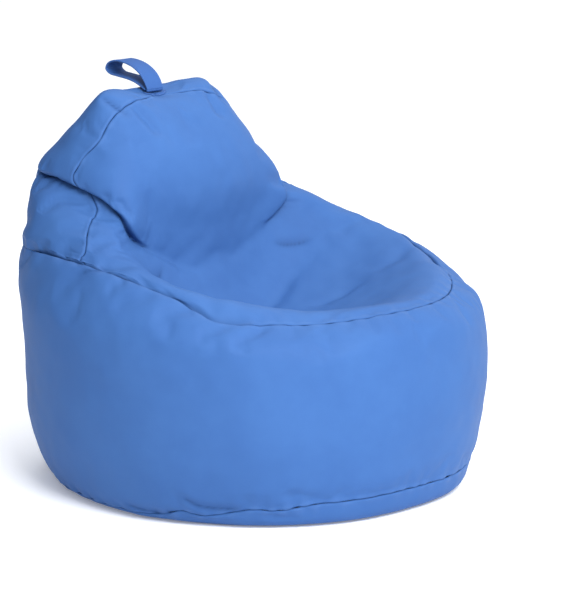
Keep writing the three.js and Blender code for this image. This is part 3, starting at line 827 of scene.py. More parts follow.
class Swell:
    """How the filling pushes the cloth out between its seams, from a cloth simulation."""

    COLUMNS = 200
    ROWS = 130
    FRAMES = 20
    CAP = 9 * MM  # the furthest that any point may move
    SEAM_REACH = 6 * MM  # how far from a seam its hold falls off

    def __init__(self, relief: Relief) -> None:
        """Run the simulation on a coarse closed bag.

        Args:
            relief: The creased face that the cloth starts from.
        """
        self.rows = np.concatenate([np.linspace(0, 2, 9)[:-1], np.linspace(2, 16.8, self.ROWS - 8)])
        turns = np.arange(self.COLUMNS) * TAU / self.COLUMNS
        u, v = np.meshgrid(turns, self.rows)
        start = relief.apply(u, v)[0]
        places = relief.form.point(u, v).reshape(-1, 3)
        firm = [k for k in relief.lines if k.crease.kind is SEAM or k.crease is SHOULDER]
        seam = np.max([np.exp(-np.abs(k.measure(places)[0]) / self.SEAM_REACH) for k in firm], axis=0)
        pin = np.maximum(seam, 1 - relief.calm(places)).reshape(u.shape)
        pin = np.where(v < 2.2, 1, pin)
        self.field = self._simulate(start, np.clip(pin, 0, 1))

    def _simulate(self, start: Array, pin: Array) -> Array:
        """Move every coarse point.

        Args:
            start: Rows of points.
            pin: How firmly each is held.

        Returns:
            The movement of each point.
        """
        rows, cols = start.shape[:2]
        verts = np.concatenate([start.reshape(-1, 3), [start[0].mean(0)], [start[-1].mean(0)]])
        index = np.arange(rows * cols).reshape(rows, cols)
        nxt = np.roll(index, -1, 1)
        quads = np.stack([index[:-1], nxt[:-1], nxt[1:], index[1:]], -1).reshape(-1, 4)
        low, high = rows * cols, rows * cols + 1
        caps = [[int(b), int(a), low] for a, b in zip(index[0], nxt[0])]
        caps += [[int(a), int(b), high] for a, b in zip(index[-1], nxt[-1])]
        mesh = bpy.data.meshes.new("cloth_trial")
        mesh.from_pydata(verts.tolist(), [], quads.tolist() + caps)
        obj = bpy.data.objects.new("cloth_trial", mesh)
        bpy.context.scene.collection.objects.link(obj)
        group = obj.vertex_groups.new(name="pin")
        weights = np.concatenate([pin.reshape(-1), [1, 1]])
        for level in range(1, 11):
            held = np.nonzero(np.ceil(weights * 10) == level)[0].tolist()
            group.add(held, level / 10, "REPLACE")
        cloth = obj.modifiers.new("Cloth", "CLOTH")
        rules = cloth.settings
        rules.quality = 5
        rules.mass = 0.35
        rules.tension_stiffness = 25
        rules.compression_stiffness = 25
        rules.shear_stiffness = 12
        rules.bending_stiffness = 2.0
        rules.use_pressure = True
        rules.uniform_pressure_force = 4
        rules.shrink_min = -0.012
        rules.effector_weights.gravity = 0
        rules.vertex_group_mass = "pin"
        rules.pin_stiffness = 1
        cloth.collision_settings.use_collision = False
        cloth.collision_settings.use_self_collision = False
        cloth.point_cache.frame_start = 1
        cloth.point_cache.frame_end = self.FRAMES
        scene = bpy.context.scene
        for number in range(1, self.FRAMES + 1):
            scene.frame_set(number)
        ready = obj.evaluated_get(bpy.context.evaluated_depsgraph_get()).to_mesh()
        moved = np.empty(len(verts) * 3)
        ready.vertices.foreach_get("co", moved)
        move = moved.reshape(-1, 3)[: rows * cols] - verts[: rows * cols]
        size = np.linalg.norm(move, axis=1, keepdims=True) + 1e-12
        LOG.info("cloth moved by up to %.1f mm, %.1f mm on average", size.max() / MM, size.mean() / MM)
        move *= self.CAP * np.tanh(size / self.CAP) / size
        scene.frame_set(1)
        bpy.data.objects.remove(obj)
        bpy.data.meshes.remove(mesh)
        return move.reshape(rows, cols, 3)

    def at(self, u: Array, v: Array) -> Array:
        """Movement at any place on the face."""
        column = np.mod(u / TAU * self.COLUMNS, self.COLUMNS)
        row = np.interp(v, self.rows, np.arange(len(self.rows)))
        i, j = np.floor(row).astype(int), np.floor(column).astype(int)
        a, b = (row - i)[..., None], (column - j)[..., None]
        i2, j, j2 = np.minimum(i + 1, len(self.rows) - 1), j % self.COLUMNS, (j + 1) % self.COLUMNS
        f = self.field
        top = f[i2, j] * (1 - b) + f[i2, j2] * b
        return (f[i, j] * (1 - b) + f[i, j2] * b) * (1 - a) + top * a


# ---------------------------------------------------------------- meshes
def new_piece(name: str, verts: Array, faces: Faces, smooth: bool = True) -> bpy.types.Object:
    """Object from points and faces.

    Args:
        name: The piece's name.
        verts: Points.
        faces: Corners of each face.
        smooth: Whether it shades smooth.

    Returns:
        The object, in the scene.
    """
    mesh = bpy.data.meshes.new(name)
    mesh.from_pydata(np.asarray(verts).tolist(), [], [list(map(int, f)) for f in faces])
    mesh.validate()
    if smooth:
        mesh.shade_smooth()
    obj = bpy.data.objects.new(name, mesh)
    bpy.context.scene.collection.objects.link(obj)
    return obj


def shell_faces(rows: int, cols: int, ring: bool) -> Array:
    """Faces of a closed shell of two grids, the outer first."""
    outer = np.arange(rows * cols).reshape(rows, cols)
    if ring:
        outer = np.concatenate([outer, outer[:, :1]], 1)
    inner = outer + rows * cols

    def quads(a: Array, b: Array, c: Array, d: Array) -> Array:
        """Faces from four matching lists of corners."""
        return np.stack([a, b, c, d], -1).reshape(-1, 4)

    parts = [
        quads(outer[:-1, :-1], outer[:-1, 1:], outer[1:, 1:], outer[1:, :-1]),
        quads(inner[:-1, :-1], inner[1:, :-1], inner[1:, 1:], inner[:-1, 1:]),
        quads(inner[0, :-1], inner[0, 1:], outer[0, 1:], outer[0, :-1]),
        quads(outer[-1, :-1], outer[-1, 1:], inner[-1, 1:], inner[-1, :-1]),
    ]
    if not ring:
        parts.append(quads(outer[:-1, 0], outer[1:, 0], inner[1:, 0], inner[:-1, 0]))
        parts.append(quads(outer[:-1, -1], inner[:-1, -1], inner[1:, -1], outer[1:, -1]))
    return np.concatenate(parts)


def shell(name: str, outer: Array, inner: Array, ring: bool = False) -> bpy.types.Object:
    """Closed piece between two grids of points.

    Args:
        name: The piece's name.
        outer: Rows of points of the outer face.
        inner: The matching points of the inner face.
        ring: Whether each row closes on itself.

    Returns:
        The object, in the scene.
    """
    verts = np.concatenate([outer.reshape(-1, 3), inner.reshape(-1, 3)])
    return new_piece(name, verts, shell_faces(*outer.shape[:2], ring))


def tube_faces(rings: int, sides: int) -> list[list[int]]:
    """Faces of a tube of rings, closed by a flat cap at each end."""
    faces = []
    for i in range(rings - 1):
        for j in range(sides):
            k = (j + 1) % sides
            faces.append([i * sides + j, i * sides + k, (i + 1) * sides + k, (i + 1) * sides + j])
    faces.append(list(range(sides))[::-1])
    faces.append([(rings - 1) * sides + j for j in range(sides)])
    return faces


def weld(obj: bpy.types.Object) -> None:
    """Join the points that lie together, such as those of a pole."""
    work = bmesh.new()
    work.from_mesh(obj.data)
    bmesh.ops.remove_doubles(work, verts=work.verts, dist=1e-6)
    bmesh.ops.dissolve_degenerate(work, edges=work.edges, dist=1e-7)
    work.to_mesh(obj.data)
    work.free()


def keep_mark(obj: bpy.types.Object, name: str, values: Array) -> None:
    """Store one number on each vertex."""
    attribute = obj.data.attributes.new(name, "FLOAT", "POINT")
    attribute.data.foreach_set("value", values.astype(np.float32).ravel())


def leave_unmarked(obj: bpy.types.Object) -> None:
    """Set the two marks of the leatherette to none, for a piece without creases."""
    for label in ("painted_crease_shade", "edge"):
        keep_mark(obj, label, np.zeros(len(obj.data.vertices)))


def join_pieces(name: str, parts: Sequence[Part]) -> bpy.types.Object:
    """One piece from several closed meshes."""
    verts: list[Array] = []
    faces: list[list[int]] = []
    for points, corners in parts:
        start = sum(len(p) for p in verts)
        faces += [[int(c) + start for c in f] for f in corners]
        verts.append(np.asarray(points))
    return new_piece(name, np.concatenate(verts), faces)


def rod(points: Array, radius: float, sides: int = 6) -> Part:
    """A short closed rod with rounded ends along a few points."""
    way = np.gradient(points, axis=0)
    way /= np.linalg.norm(way, axis=1, keepdims=True) + 1e-12
    helper = np.array([0.31, 0.52, 0.79])
    side = np.cross(way, helper)
    side /= np.linalg.norm(side, axis=1, keepdims=True) + 1e-12
    up = np.cross(way, side)
    angle = np.arange(sides) * TAU / sides
    size = radius * np.concatenate([[0.45], np.ones(len(points) - 2), [0.45]])
    ring = points[:, None] + size[:, None, None] * (
        np.cos(angle)[None, :, None] * side[:, None] + np.sin(angle)[None, :, None] * up[:, None]
    )
    return ring.reshape(-1, 3), tube_faces(len(points), sides)


def stitches(line: Array, out: Array, length: float, gap: float, radius: float) -> list[Part]:
    """Thread stitches along a line on a surface.

    Args:
        line: Points of the seam line.
        out: Outward directions at those points.
        length: Length of a stitch.
        gap: Cloth between two stitches.
        radius: Radius of the thread.

    Returns:
        One rod for each stitch.
    """
    run = travel(line)
    count = int(run[-1] / (length + gap))
    made = []
    for k in range(count):
        at = k * (length + gap) + np.array([0, 0.15, 0.5, 0.85, 1.0]) * length
        spots = np.stack([np.interp(at, run, line[:, c]) for c in range(3)], 1)
        lift = np.stack([np.interp(at, run, out[:, c]) for c in range(3)], 1)
        spots += lift * (radius * np.array([-0.9, 0.5, 0.8, 0.5, -0.9]))[:, None]
        made.append(rod(spots, radius))
    return made


def dress(obj: bpy.types.Object, material: bpy.types.Material) -> None:
    """Give a piece its material."""
    obj.data.materials.clear()
    obj.data.materials.append(material)
    LOG.info("%s: %d faces", obj.name, len(obj.data.polygons))


# ---------------------------------------------------------------- sub-assemblies
@dataclass
class Cover:
    """The sewn outer cover: base, wall, front panel and two rear gores."""

    relief: Relief
    material: bpy.types.Material
    edge_steps: tuple[float, ...] = (0, 0.25, 0.7, 1.4, 2.3, 3.5, 5.2)  # from a seam, in mm
    seam_gap: float = 0.3 * MM
    opening: float = 7.5 * MM
    fill: float = 0.85
    ring_gap: float = 0.004  # rows left open at each ring seam
    base_columns: int = 420

    def _spread(self, length: Array, count: int) -> Array:
        """Places along each row, close together by its two ends."""
        near = np.array(self.edge_steps) * MM
        share = np.minimum(1, length / 0.12)[:, None]
        first = near[None] * share
        last = length[:, None] - first[:, ::-1]
        t = np.linspace(0, 1, count - 2 * len(near) + 2)[1:-1]
        middle = first[:, -1:] + (last[:, :1] - first[:, -1:]) * t
        return np.concatenate([first, middle, last], 1)

    def _rows(
        self, low: float, high: float, turn: float, count: int, dense: tuple[float, float] = (0, 0)
    ) -> Array:
        """Rows between two seams, even in distance along one turn and closer inside dense.

        Args:
            low: The first row.
            high: The last row.
            turn: The turn along which the distances are measured.
            count: How many rows.
            dense: The two rows between which they lie closer.

        Returns:
            The rows.
        """
        v = np.linspace(low, high, 1200)
        line = self.relief.form.point(np.full(1200, turn), v)
        step = np.linalg.norm(np.diff(line, axis=0), axis=1)
        step = step * np.where((v[1:] > dense[0]) & (v[1:] < dense[1]), 1.9, 1)
        run = np.concatenate([[0], np.cumsum(step)])
        return np.interp(self._spread(run[-1:], count)[0], run, v)

    def _turns(self, rows: Array, low: Array, high: Array, count: int) -> Array:
        """Turns across each row, from one edge to the other."""
        t = np.linspace(0, 1, 500)
        u = low[:, None] + (high - low)[:, None] * t
        step = np.linalg.norm(np.diff(self.relief.form.point(u, rows[:, None]), axis=1), axis=-1)
        run = np.concatenate([np.zeros((len(rows), 1)), np.cumsum(step, 1)], 1)
        spots = self._spread(run[:, -1], count)
        return np.array([np.interp(s, r, x) for s, r, x in zip(spots, run, u)])

    def _panel(self, name: str, rows: Array, turns: Array, ring: bool = False) -> bpy.types.Object:
        """One panel with its thickness."""
        v = np.broadcast_to(rows[:, None], turns.shape)
        outer, out, painted_crease_shade, edge = self.relief.apply(turns, v)
        inner = outer - out * SHEET
        inner[..., 2] = np.where(outer[..., 2] < SHEET, SHEET + outer[..., 2] * 0.5, inner[..., 2])
        obj = shell(name, outer, inner, ring)
        # per-vertex marks for the material: painted crease shade, and seam lips lightened as wear and
        # painted highlight
        for label, values in (("painted_crease_shade", painted_crease_shade), ("edge", edge)):
            keep_mark(obj, label, np.concatenate([values.ravel(), values.ravel()]))
        if ring:
            weld(obj)
        dress(obj, self.material)
        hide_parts(name.removeprefix("cover_"))
        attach(obj, "bag")
        return obj

    def _gap_turn(self, rows: Array, turns: Array) -> Array:
        """Turn that half a seam gap takes at each place."""
        step = 0.01
        form = self.relief.form
        reach = np.linalg.norm(form.point(turns + step, rows) - form.point(turns - step, rows), axis=-1)
        return self.seam_gap * step / np.maximum(reach, 1e-6)

    def _rear_edge(self, rows: Array) -> Array:
        """Turn of the rear edge at each row: the zip opening, or the closed seam."""
        form = self.relief.form
        lo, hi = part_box("zip_tape_left")
        z = form.point(np.full(len(rows), math.pi), rows)[:, 2]
        open_share = ease((z - lo.z + 6 * MM) / (6 * MM)) * ease((hi.z + 7 * MM - z) / (6 * MM))
        shut, wide = form.turn_at_x(self.seam_gap / 2, rows), form.turn_at_x(self.opening, rows)
        return shut + (wide - shut) * open_share

    def build(self) -> None:
        """Make the five panels."""
        form = self.relief.form
        gap = self.ring_gap
        flat = [np.linspace(-0.995, -0.2, 8), np.linspace(-0.15, 0, 6)[:-1]]
        edge = form.SEAM_ROW - np.array([0.06, 0.03, 0.012, gap])
        rows = np.concatenate([*flat, np.linspace(0, 1.9, 34), edge])
        turns = np.arange(self.base_columns) * TAU / self.base_columns
        ring = np.broadcast_to(turns, (len(rows), self.base_columns))
        self._panel("cover_base_panel", rows, ring, ring=True)

        rows = self._rows(form.SEAM_ROW + gap, form.RIM_ROW - gap, -50 * DEG, 92)
        edge = self._rear_edge(rows)
        self._panel("cover_wall_panel", rows, self._turns(rows, -edge, edge, 530))

        rows = self._rows(form.RIM_ROW + gap, form.COLLAR_ROW, -60 * DEG, 205, (12.5, 13.9))
        seam = form.side_seam(rows) - self._gap_turn(rows, form.side_seam(rows))
        self._panel("cover_front_panel", rows, self._turns(rows, -seam, seam, 236))
        start = form.side_seam(rows) + self._gap_turn(rows, form.side_seam(rows))
        edge = self._rear_edge(rows)
        right = self._turns(rows, start, edge, 150)
        for label, turns in (("left", -right[:, ::-1]), ("right", right)):
            obj = self._panel(f"cover_back_panel_{label}", rows, turns)
            self._pierce(obj, f"vent_eyelet_{label}")

    def _pierce(self, obj: bpy.types.Object, eyelet: str) -> None:
        """Cut the hole that an eyelet's barrel passes through."""
        co = np.array([v.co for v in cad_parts[eyelet].data.vertices])
        middle = co.mean(0)
        out = np.linalg.svd(co - middle)[2][2]
        bpy.ops.mesh.primitive_cylinder_add(vertices=40, radius=4 * MM, depth=24 * MM, location=middle)
        tool = bpy.context.object
        tool.rotation_mode = "QUATERNION"
        tool.rotation_quaternion = Vector(out).to_track_quat("Z", "Y")
        cut = obj.modifiers.new("hole", "BOOLEAN")
        cut.object = tool
        cut.operation = "DIFFERENCE"
        bpy.context.view_layer.update()
        drilled = obj.evaluated_get(bpy.context.evaluated_depsgraph_get())
        ready = bpy.data.meshes.new_from_object(drilled)
        obj.modifiers.clear()
        if len(ready.polygons) > len(obj.data.polygons) // 2:
            obj.data = ready
            obj.data.shade_smooth()
        bpy.data.objects.remove(tool)


@dataclass(frozen=True)
class Finishes:
    """Every material of the chair."""

    cover: bpy.types.Material
    strap: bpy.types.Material
    thread: bpy.types.Material
    tape: bpy.types.Material
    teeth: bpy.types.Material
    metal: bpy.types.Material
    label: bpy.types.Material
    liner: bpy.types.Material
    beads: bpy.types.Material

    @classmethod
    def make(cls) -> "Finishes":
        """Make the materials once."""
        strap = Leatherette("strap", (0.029, 0.082, 0.252), (0.034, 0.094, 0.275), grain=950.0)
        thread = Woven("thread", (0.057, 0.143, 0.400), (0.025, 0.071, 0.236), 0.5 * MM, 0.6, 0.1 * MM)
        tape = Woven("zip_tape", (0.029, 0.082, 0.257), (0.014, 0.046, 0.157), 0.8 * MM, 0.85)
        teeth = Moulded("zip_teeth", (0.021, 0.068, 0.229), (0.016, 0.054, 0.186))
        satin = Woven("satin", (0.72, 0.72, 0.70), (0.58, 0.58, 0.57), 0.4 * MM, 0.5, 0.06 * MM, 0.5)
        liner = Woven("liner", (0.66, 0.66, 0.64), (0.50, 0.50, 0.48), 1.1 * MM, 0.92, 0.2 * MM, 0.1)
        return cls(
            cover=Leatherette().material(),
            strap=strap.material(),
            thread=thread.material(),
            tape=tape.material(),
            teeth=teeth.material(),
            metal=Metal().material(),
            label=satin.material(),
            liner=liner.material(),
            beads=Beads().material(),
        )


def curve_points(knots: Array, count: int) -> Array:
    """Even points on a centripetal curve through a few knots.

    Args:
        knots: Points of the curve.
        count: How many points to return.

    Returns:
        Points at even distances.
    """
    ghost = with_ends(knots)
    found = []
    for p0, p1, p2, p3 in zip(ghost, ghost[1:], ghost[2:], ghost[3:]):
        d0, d1, d2 = (np.linalg.norm(b - a) ** 0.5 for a, b in ((p0, p1), (p1, p2), (p2, p3)))
        t1 = ((p1 - p0) / d0 - (p2 - p0) / (d0 + d1) + (p2 - p1) / d1) * d1
        t2 = ((p2 - p1) / d1 - (p3 - p1) / (d1 + d2) + (p3 - p2) / d2) * d1
        t = np.linspace(0, 1, 40, endpoint=False)[:, None]
        cubic = (2 * p1 - 2 * p2 + t1 + t2) * t**3 + (3 * p2 - 3 * p1 - 2 * t1 - t2) * t**2
        found.append(cubic + t1 * t + p1)
    line = np.concatenate([*found, knots[-1:]])
    run = travel(line)
    even = np.linspace(0, run[-1], count)
    return np.stack([np.interp(even, run, line[:, k]) for k in range(line.shape[1])], 1)


@dataclass
class Handle:
    """Carrying loop of one strap folded double, its stitches and the patch under it."""

    relief: Relief
    finishes: Finishes
    width: float = 45 * MM
    thick: float = 3.2 * MM
    stitch_inset: float = 3.6 * MM
    root: tuple[float, float] = (248 * MM, 678.6 * MM)  # y, z
    path: tuple[tuple[float, float], ...] = (
        (1.2, 5), (8, 18), (20, 33), (40, 46), (62, 52), (84, 53), (100, 47), (105, 37), (96, 29),
        (78, 26), (56, 23), (36, 18), (20, 11), (8, 4.5),
    )  # from the root, in millimetres

    def build(self) -> None:
        """Make the strap, its stitches and the patch."""
        line = np.array(self.path) * MM + np.array(self.root)
        middle = curve_points(line, 150)
        way = np.gradient(middle, axis=0)
        way /= np.linalg.norm(way, axis=1, keepdims=True)
        out = np.stack([-way[:, 1], way[:, 0]], 1)
        run = np.linspace(0, 1, len(middle))
        sections, across, height = self._section()
        sag = 0.35 * MM * np.sin(run * 19.0)[:, None] * (across / (self.width / 2)) ** 2
        neck = 1 - 0.05 * bell(np.minimum(run, 1 - run) / 0.05)
        x = across[None] * neck[:, None] + 0.6 * MM * np.sin(run * 9.0)[:, None]
        lift = height[None] + sag
        yz = middle[:, None] + out[:, None] * lift[..., None]
        verts = np.concatenate([x[..., None], yz], -1).reshape(-1, 3)
        strap = new_piece("strap_loop", verts, tube_faces(len(middle), sections))
        fix_normals(strap)
        keep_mark(strap, "painted_crease_shade", np.zeros(len(verts)))
        # strap's rounded edges: lightened in the material as wear and painted highlight
        edge = np.broadcast_to((np.abs(across) > self.width / 2 - 1.2 * MM) * 0.7, x.shape)
        keep_mark(strap, "edge", edge)
        dress(strap, self.finishes.strap)
        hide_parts("handle_strap")
        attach(strap, "loop")
        self._stitch(middle, out)
        self._hem()
        self._patch()

    def _section(self) -> tuple[int, Array, Array]:
        """Section of the folded strap: flat faces, rounded edges and two shallow stitch channels."""
        t = np.linspace(-1, 1, 34)
        half = self.width / 2
        near = np.sign(t) * (1 - (1 - np.abs(t)) ** 1.35) * half
        past = np.clip((np.abs(near) - (half - self.thick / 2)) / (self.thick / 2), 0, 1)
        edge = np.sqrt(np.clip(1 - past**2, 0, 1))
        channel = 0.35 * MM * bell((np.abs(near) - (half - self.stitch_inset)) / (1.1 * MM))
        top = self.thick / 2 * edge - channel * (edge > 0.9)
        across = np.concatenate([near, near[-2:0:-1]])
        height = np.concatenate([top, -top[-2:0:-1]])
        return len(across), across, height

    def _stitch(self, middle: Array, out: Array) -> None:
        """Rows of stitches along both edges, on both faces."""
        made = []
        inset = self.width / 2 - self.stitch_inset
        inner = slice(6, -6)
        for x in (-inset, inset):
            for face in (-1, 1):
                line = middle[inner] + out[inner] * face * (self.thick / 2 - 0.25 * MM)
                spots = np.column_stack([np.full(len(line), x), line])
                normal = np.column_stack([np.zeros(len(line)), out[inner] * face])
                made += stitches(spots, normal, 3.4 * MM, 1.1 * MM, 0.32 * MM)
        obj = join_pieces("strap_stitches", made)
        dress(obj, self.finishes.thread)
        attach(obj, "loop")

    def _hem(self) -> None:
        """Rolled end where the two legs are sewn together."""
        ends = np.linspace(-1, 1, 25) * (self.width / 2 - 1 * MM)
        y, z = self.root[0] + 3 * MM, self.root[1] + 3.4 * MM
        line = np.column_stack([ends, y + 0.25 * MM * np.sin(ends * 420), np.full(25, z)])
        obj = join_pieces("strap_hem", [rod(line, 3.1 * MM, 14)])
        leave_unmarked(obj)
        dress(obj, self.finishes.strap)
        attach(obj, "loop")

    def _patch(self) -> None:
        """Patch over the meeting point of the panels, sewn down round its edge."""
        form = self.relief.form
        start = form.PATCH_ROW
        rows = np.append(start + np.array([0, 0.002, 0.006]), np.linspace(start + 0.015, 16.995, 16))
        turns = np.broadcast_to(np.arange(120) * TAU / 120, (len(rows), 120))
        v = np.broadcast_to(rows[:, None], turns.shape)
        base, out, _, _ = self.relief.apply(turns, v)
        edge = np.clip((v - start) / 0.01, 0, 1)
        crown = (0.75 + 0.9 * np.sqrt(np.clip(edge, 0, 1))) * MM
        outer = base + out * (crown + 0.25 * MM)[..., None]
        inner = base + out * 0.55 * MM
        obj = shell("strap_patch", outer, inner, ring=True)
        leave_unmarked(obj)
        weld(obj)
        dress(obj, self.finishes.strap)
        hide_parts("handle_patch")
        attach(obj, "bag")
        seam = np.linspace(0, TAU, 160)
        line, up, _, _ = self.relief.apply(seam, np.full(160, start + 0.03))
        made = stitches(line + up * 1.85 * MM, up, 3.0 * MM, 1.1 * MM, 0.3 * MM)
        thread = join_pieces("patch_stitches", made)
        dress(thread, self.finishes.thread)
        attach(thread, "bag")


def fix_normals(obj: bpy.types.Object) -> None:
    """Turn every face outward."""
    work = bmesh.new()
    work.from_mesh(obj.data)
    bmesh.ops.recalc_face_normals(work, faces=work.faces)
    work.to_mesh(obj.data)
    work.free()


def refine(node: str, material: bpy.types.Material, bevel: float) -> None:
    """Finish a hard CAD piece in place: rounded edges and a material."""
    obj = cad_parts[node]
    obj.data.materials.clear()
    obj.data.materials.append(material)
    obj.data.shade_smooth()
    obj.data.set_sharp_from_angle(angle=35 * DEG)
    if bevel:
        round_off = obj.modifiers.new("edges", "BEVEL")
        round_off.width = bevel
        round_off.segments = 3
        round_off.limit_method = "ANGLE"
        round_off.angle_limit = 35 * DEG
        round_off.harden_normals = True
    LOG.info("%s: finished in place", node)


def strip(name: str, x: Array, y: Array, z: Array, thick: float) -> bpy.types.Object:
    """A thin closed sheet over matching grids, with its thickness along -Y.

    Args:
        name: The piece's name.
        x: Grid of x.
        y: Grid of the outer face's y.
        z: Grid of z.
        thick: Thickness in metres.

    Returns:
        The object.
    """
    outer = np.stack([x, y, z], -1)
    inner = outer - np.array([0, thick, 0])
    obj = shell(name, outer, inner)
    fix_normals(obj)
    return obj


@dataclass
class RearZip:
    """Zip in the rear seam: tapes, teeth, stops, slider, pull, garage and stitches."""

    relief: Relief
    finishes: Finishes
    pitch: float = 3.0 * MM
    tip: float = 0.62 * MM

    def build(self) -> None:
        """Make the zip."""
        for label, side in (("left", -1), ("right", 1)):
            self._tape(label)
            self._teeth(label, side)
        for node, bevel in (
            ("zip_slider", 0.45 * MM), ("zip_pull", 0.35 * MM),
            ("zip_top_stop", 0.4 * MM), ("zip_bottom_stop", 0.4 * MM),
        ):
            refine(node, self.finishes.metal, bevel)
        self._garage()
        self._stitch()

    def _tape(self, label: str) -> None:
        """Woven tape with a corded inner edge."""
        lo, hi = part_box(f"zip_tape_{label}")
        inner, outer = sorted((lo.x, hi.x), key=abs)
        t, z = np.meshgrid(np.linspace(0, 1, 22), np.linspace(lo.z, hi.z, 190))
        x = inner + (outer - inner) * t
        cord = 0.16 * MM * bell(t / 0.10) + 0.06 * MM * np.sin(z * 1600) * t
        obj = strip(f"tape_{label}", x, hi.y - 0.18 * MM + cord, z, 0.6 * MM)
        dress(obj, self.finishes.tape)
        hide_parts(f"zip_tape_{label}")
        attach(obj, "bag")

    def _teeth(self, label: str, side: int) -> None:
        """Moulded teeth, half a pitch apart on the two sides."""
        lo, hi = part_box(f"zip_teeth_{label}")
        spine = max(abs(lo.x), abs(hi.x))
        reach = spine - self.tip
        middle, half = (lo.y + hi.y) / 2, (hi.y - lo.y) / 2
        count = int((hi.z - lo.z - 1.4 * MM) / self.pitch)
        made = []
        profile = ((0, 0.30), (0.10, 0.48), (0.34, 0.5), (0.50, 0.34), (0.80, 0.42), (1.0, 0.42))
        for k in range(count):
            z = lo.z + (k + 0.5 + (0.5 if side > 0 else 0.0)) * self.pitch
            ring = []
            for share, wide in profile:
                x = side * (self.tip + reach * share)
                deep = half * (0.80 if share == 0 else 0.97)
                tall = wide * self.pitch * 0.52
                soft = 0.28 * tall
                corners = (
                    (-deep, tall - soft), (-deep + soft, tall), (deep - soft, tall), (deep, tall - soft),
                    (deep, soft - tall), (deep - soft, -tall), (soft - deep, -tall), (-deep, soft - tall),
                )
                ring.append([(x, middle + a, z + b) for a, b in corners])
            verts = np.array(ring).reshape(-1, 3)
            made.append((verts, tube_faces(len(profile), len(corners))))
        height = np.linspace(lo.z + 0.5 * MM, hi.z - 0.5 * MM, 60)
        line = np.column_stack([np.full(60, side * (spine - 0.35 * MM)), np.full(60, middle), height])
        made.append(rod(line, 0.85 * MM, 8))
        obj = join_pieces(f"teeth_{label}", made)
        fix_normals(obj)
        obj.data.set_sharp_from_angle(angle=40 * DEG)
        dress(obj, self.finishes.teeth)
        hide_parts(f"zip_teeth_{label}")
        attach(obj, "bag")

    def _garage(self) -> None:
        """Small flap over the parked slider's end, sewn down on three sides."""
        lo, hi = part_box("zip_garage")
        s, t = np.meshgrid(np.linspace(-1, 1, 34), np.linspace(-1, 1, 26))
        x = (hi.x + lo.x) / 2 + s * (hi.x - lo.x) / 2
        z = (hi.z + lo.z) / 2 + t * (hi.z - lo.z) / 2
        rim = np.maximum(np.abs(s), np.abs(t) * 0.995)
        crown = 0.35 * MM * (1 - s**2) * (1 - t**2)
        fall = 0.5 * MM * np.clip((rim - 0.9) / 0.1, 0, 1) ** 2
        groove = 0.25 * MM * bell((rim - 0.84) / 0.03)
        obj = strip("garage", x, hi.y + crown - fall - groove, z, 0.7 * MM)
        leave_unmarked(obj)
        dress(obj, self.finishes.cover)
        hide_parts("zip_garage")
        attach(obj, "bag")
        inset = 2.6 * MM
        a, b = (lo.x + inset, hi.x - inset), (lo.z + inset, hi.z - inset)
        corners = np.array([[a[0], b[0]], [a[0], b[1]], [a[1], b[1]], [a[1], b[0]]])
        made = []
        for start, end in zip(corners, corners[1:]):
            share = np.linspace(0.02, 0.98, 20)[:, None]
            flat = start + (end - start) * share
            line = np.column_stack([flat[:, 0], np.full(20, hi.y + 0.1 * MM), flat[:, 1]])
            made += stitches(line, np.tile([0.0, 1.0, 0.0], (20, 1)), 2.6 * MM, 0.9 * MM, 0.28 * MM)
        thread = join_pieces("garage_stitches", made)
        dress(thread, self.finishes.thread)
        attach(thread, "bag")

    def _stitch(self) -> None:
        """Two rows of stitches down each side of the opening."""
        form = self.relief.form
        lo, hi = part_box("zip_tape_left")
        rows = np.linspace(form.row_at_rear(lo.z - 4 * MM), form.row_at_rear(hi.z + 2 * MM), 160)
        made = []
        for x in (10.5 * MM, 15 * MM):
            turn = form.turn_at_x(x, rows)
            for side in (-1, 1):
                line, out, _, _ = self.relief.apply(side * turn, rows)
                made += stitches(line + out * 0.05 * MM, out, 3.2 * MM, 1.1 * MM, 0.3 * MM)
        obj = join_pieces("opening_stitches", made)
        dress(obj, self.finishes.thread)
        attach(obj, "bag")


@dataclass
class Vents:
    """Two pressed eyelets and the washers that clench them."""

    finishes: Finishes

    def build(self) -> None:
        """Finish the four pieces in place."""
        for label in ("left", "right"):
            refine(f"vent_eyelet_{label}", self.finishes.metal, 0)
            refine(f"vent_washer_{label}", self.finishes.metal, 0)


@dataclass
class Label:
    """Blank satin label that hangs from the rim seam."""

    relief: Relief
    finishes: Finishes
    turn: float = 164 * DEG
    width: float = 34 * MM
    length: float = 52 * MM
    thick: float = 0.6 * MM

    def build(self) -> None:
        """Make the label and its sewn hems."""
        form = self.relief.form
        row = np.array(form.RIM_ROW - 0.1)
        turn = np.array(self.turn)
        side, up, out = form.axes(turn, row)
        place = form.point(turn, row) + out * 1.2 * MM
        s, t = np.meshgrid(np.linspace(-0.5, 0.5, 30), np.linspace(0, 1, 44))
        wave = 0.30 * MM * np.sin(s * 7 + t * 4) * t + 0.25 * MM * t * t
        grid = place + side * (s * self.width)[..., None] - up * (t * self.length)[..., None]
        hem = 0.22 * MM * (bell((t - 0.97) / 0.02) + bell((np.abs(s) - 0.47) / 0.02))
        outer = grid + out * (self.thick + wave + hem)[..., None]
        inner = grid + out * wave[..., None]
        obj = shell("label", outer, inner)
        fix_normals(obj)
        dress(obj, self.finishes.label)
        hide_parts("care_label")
        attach(obj, "bag")


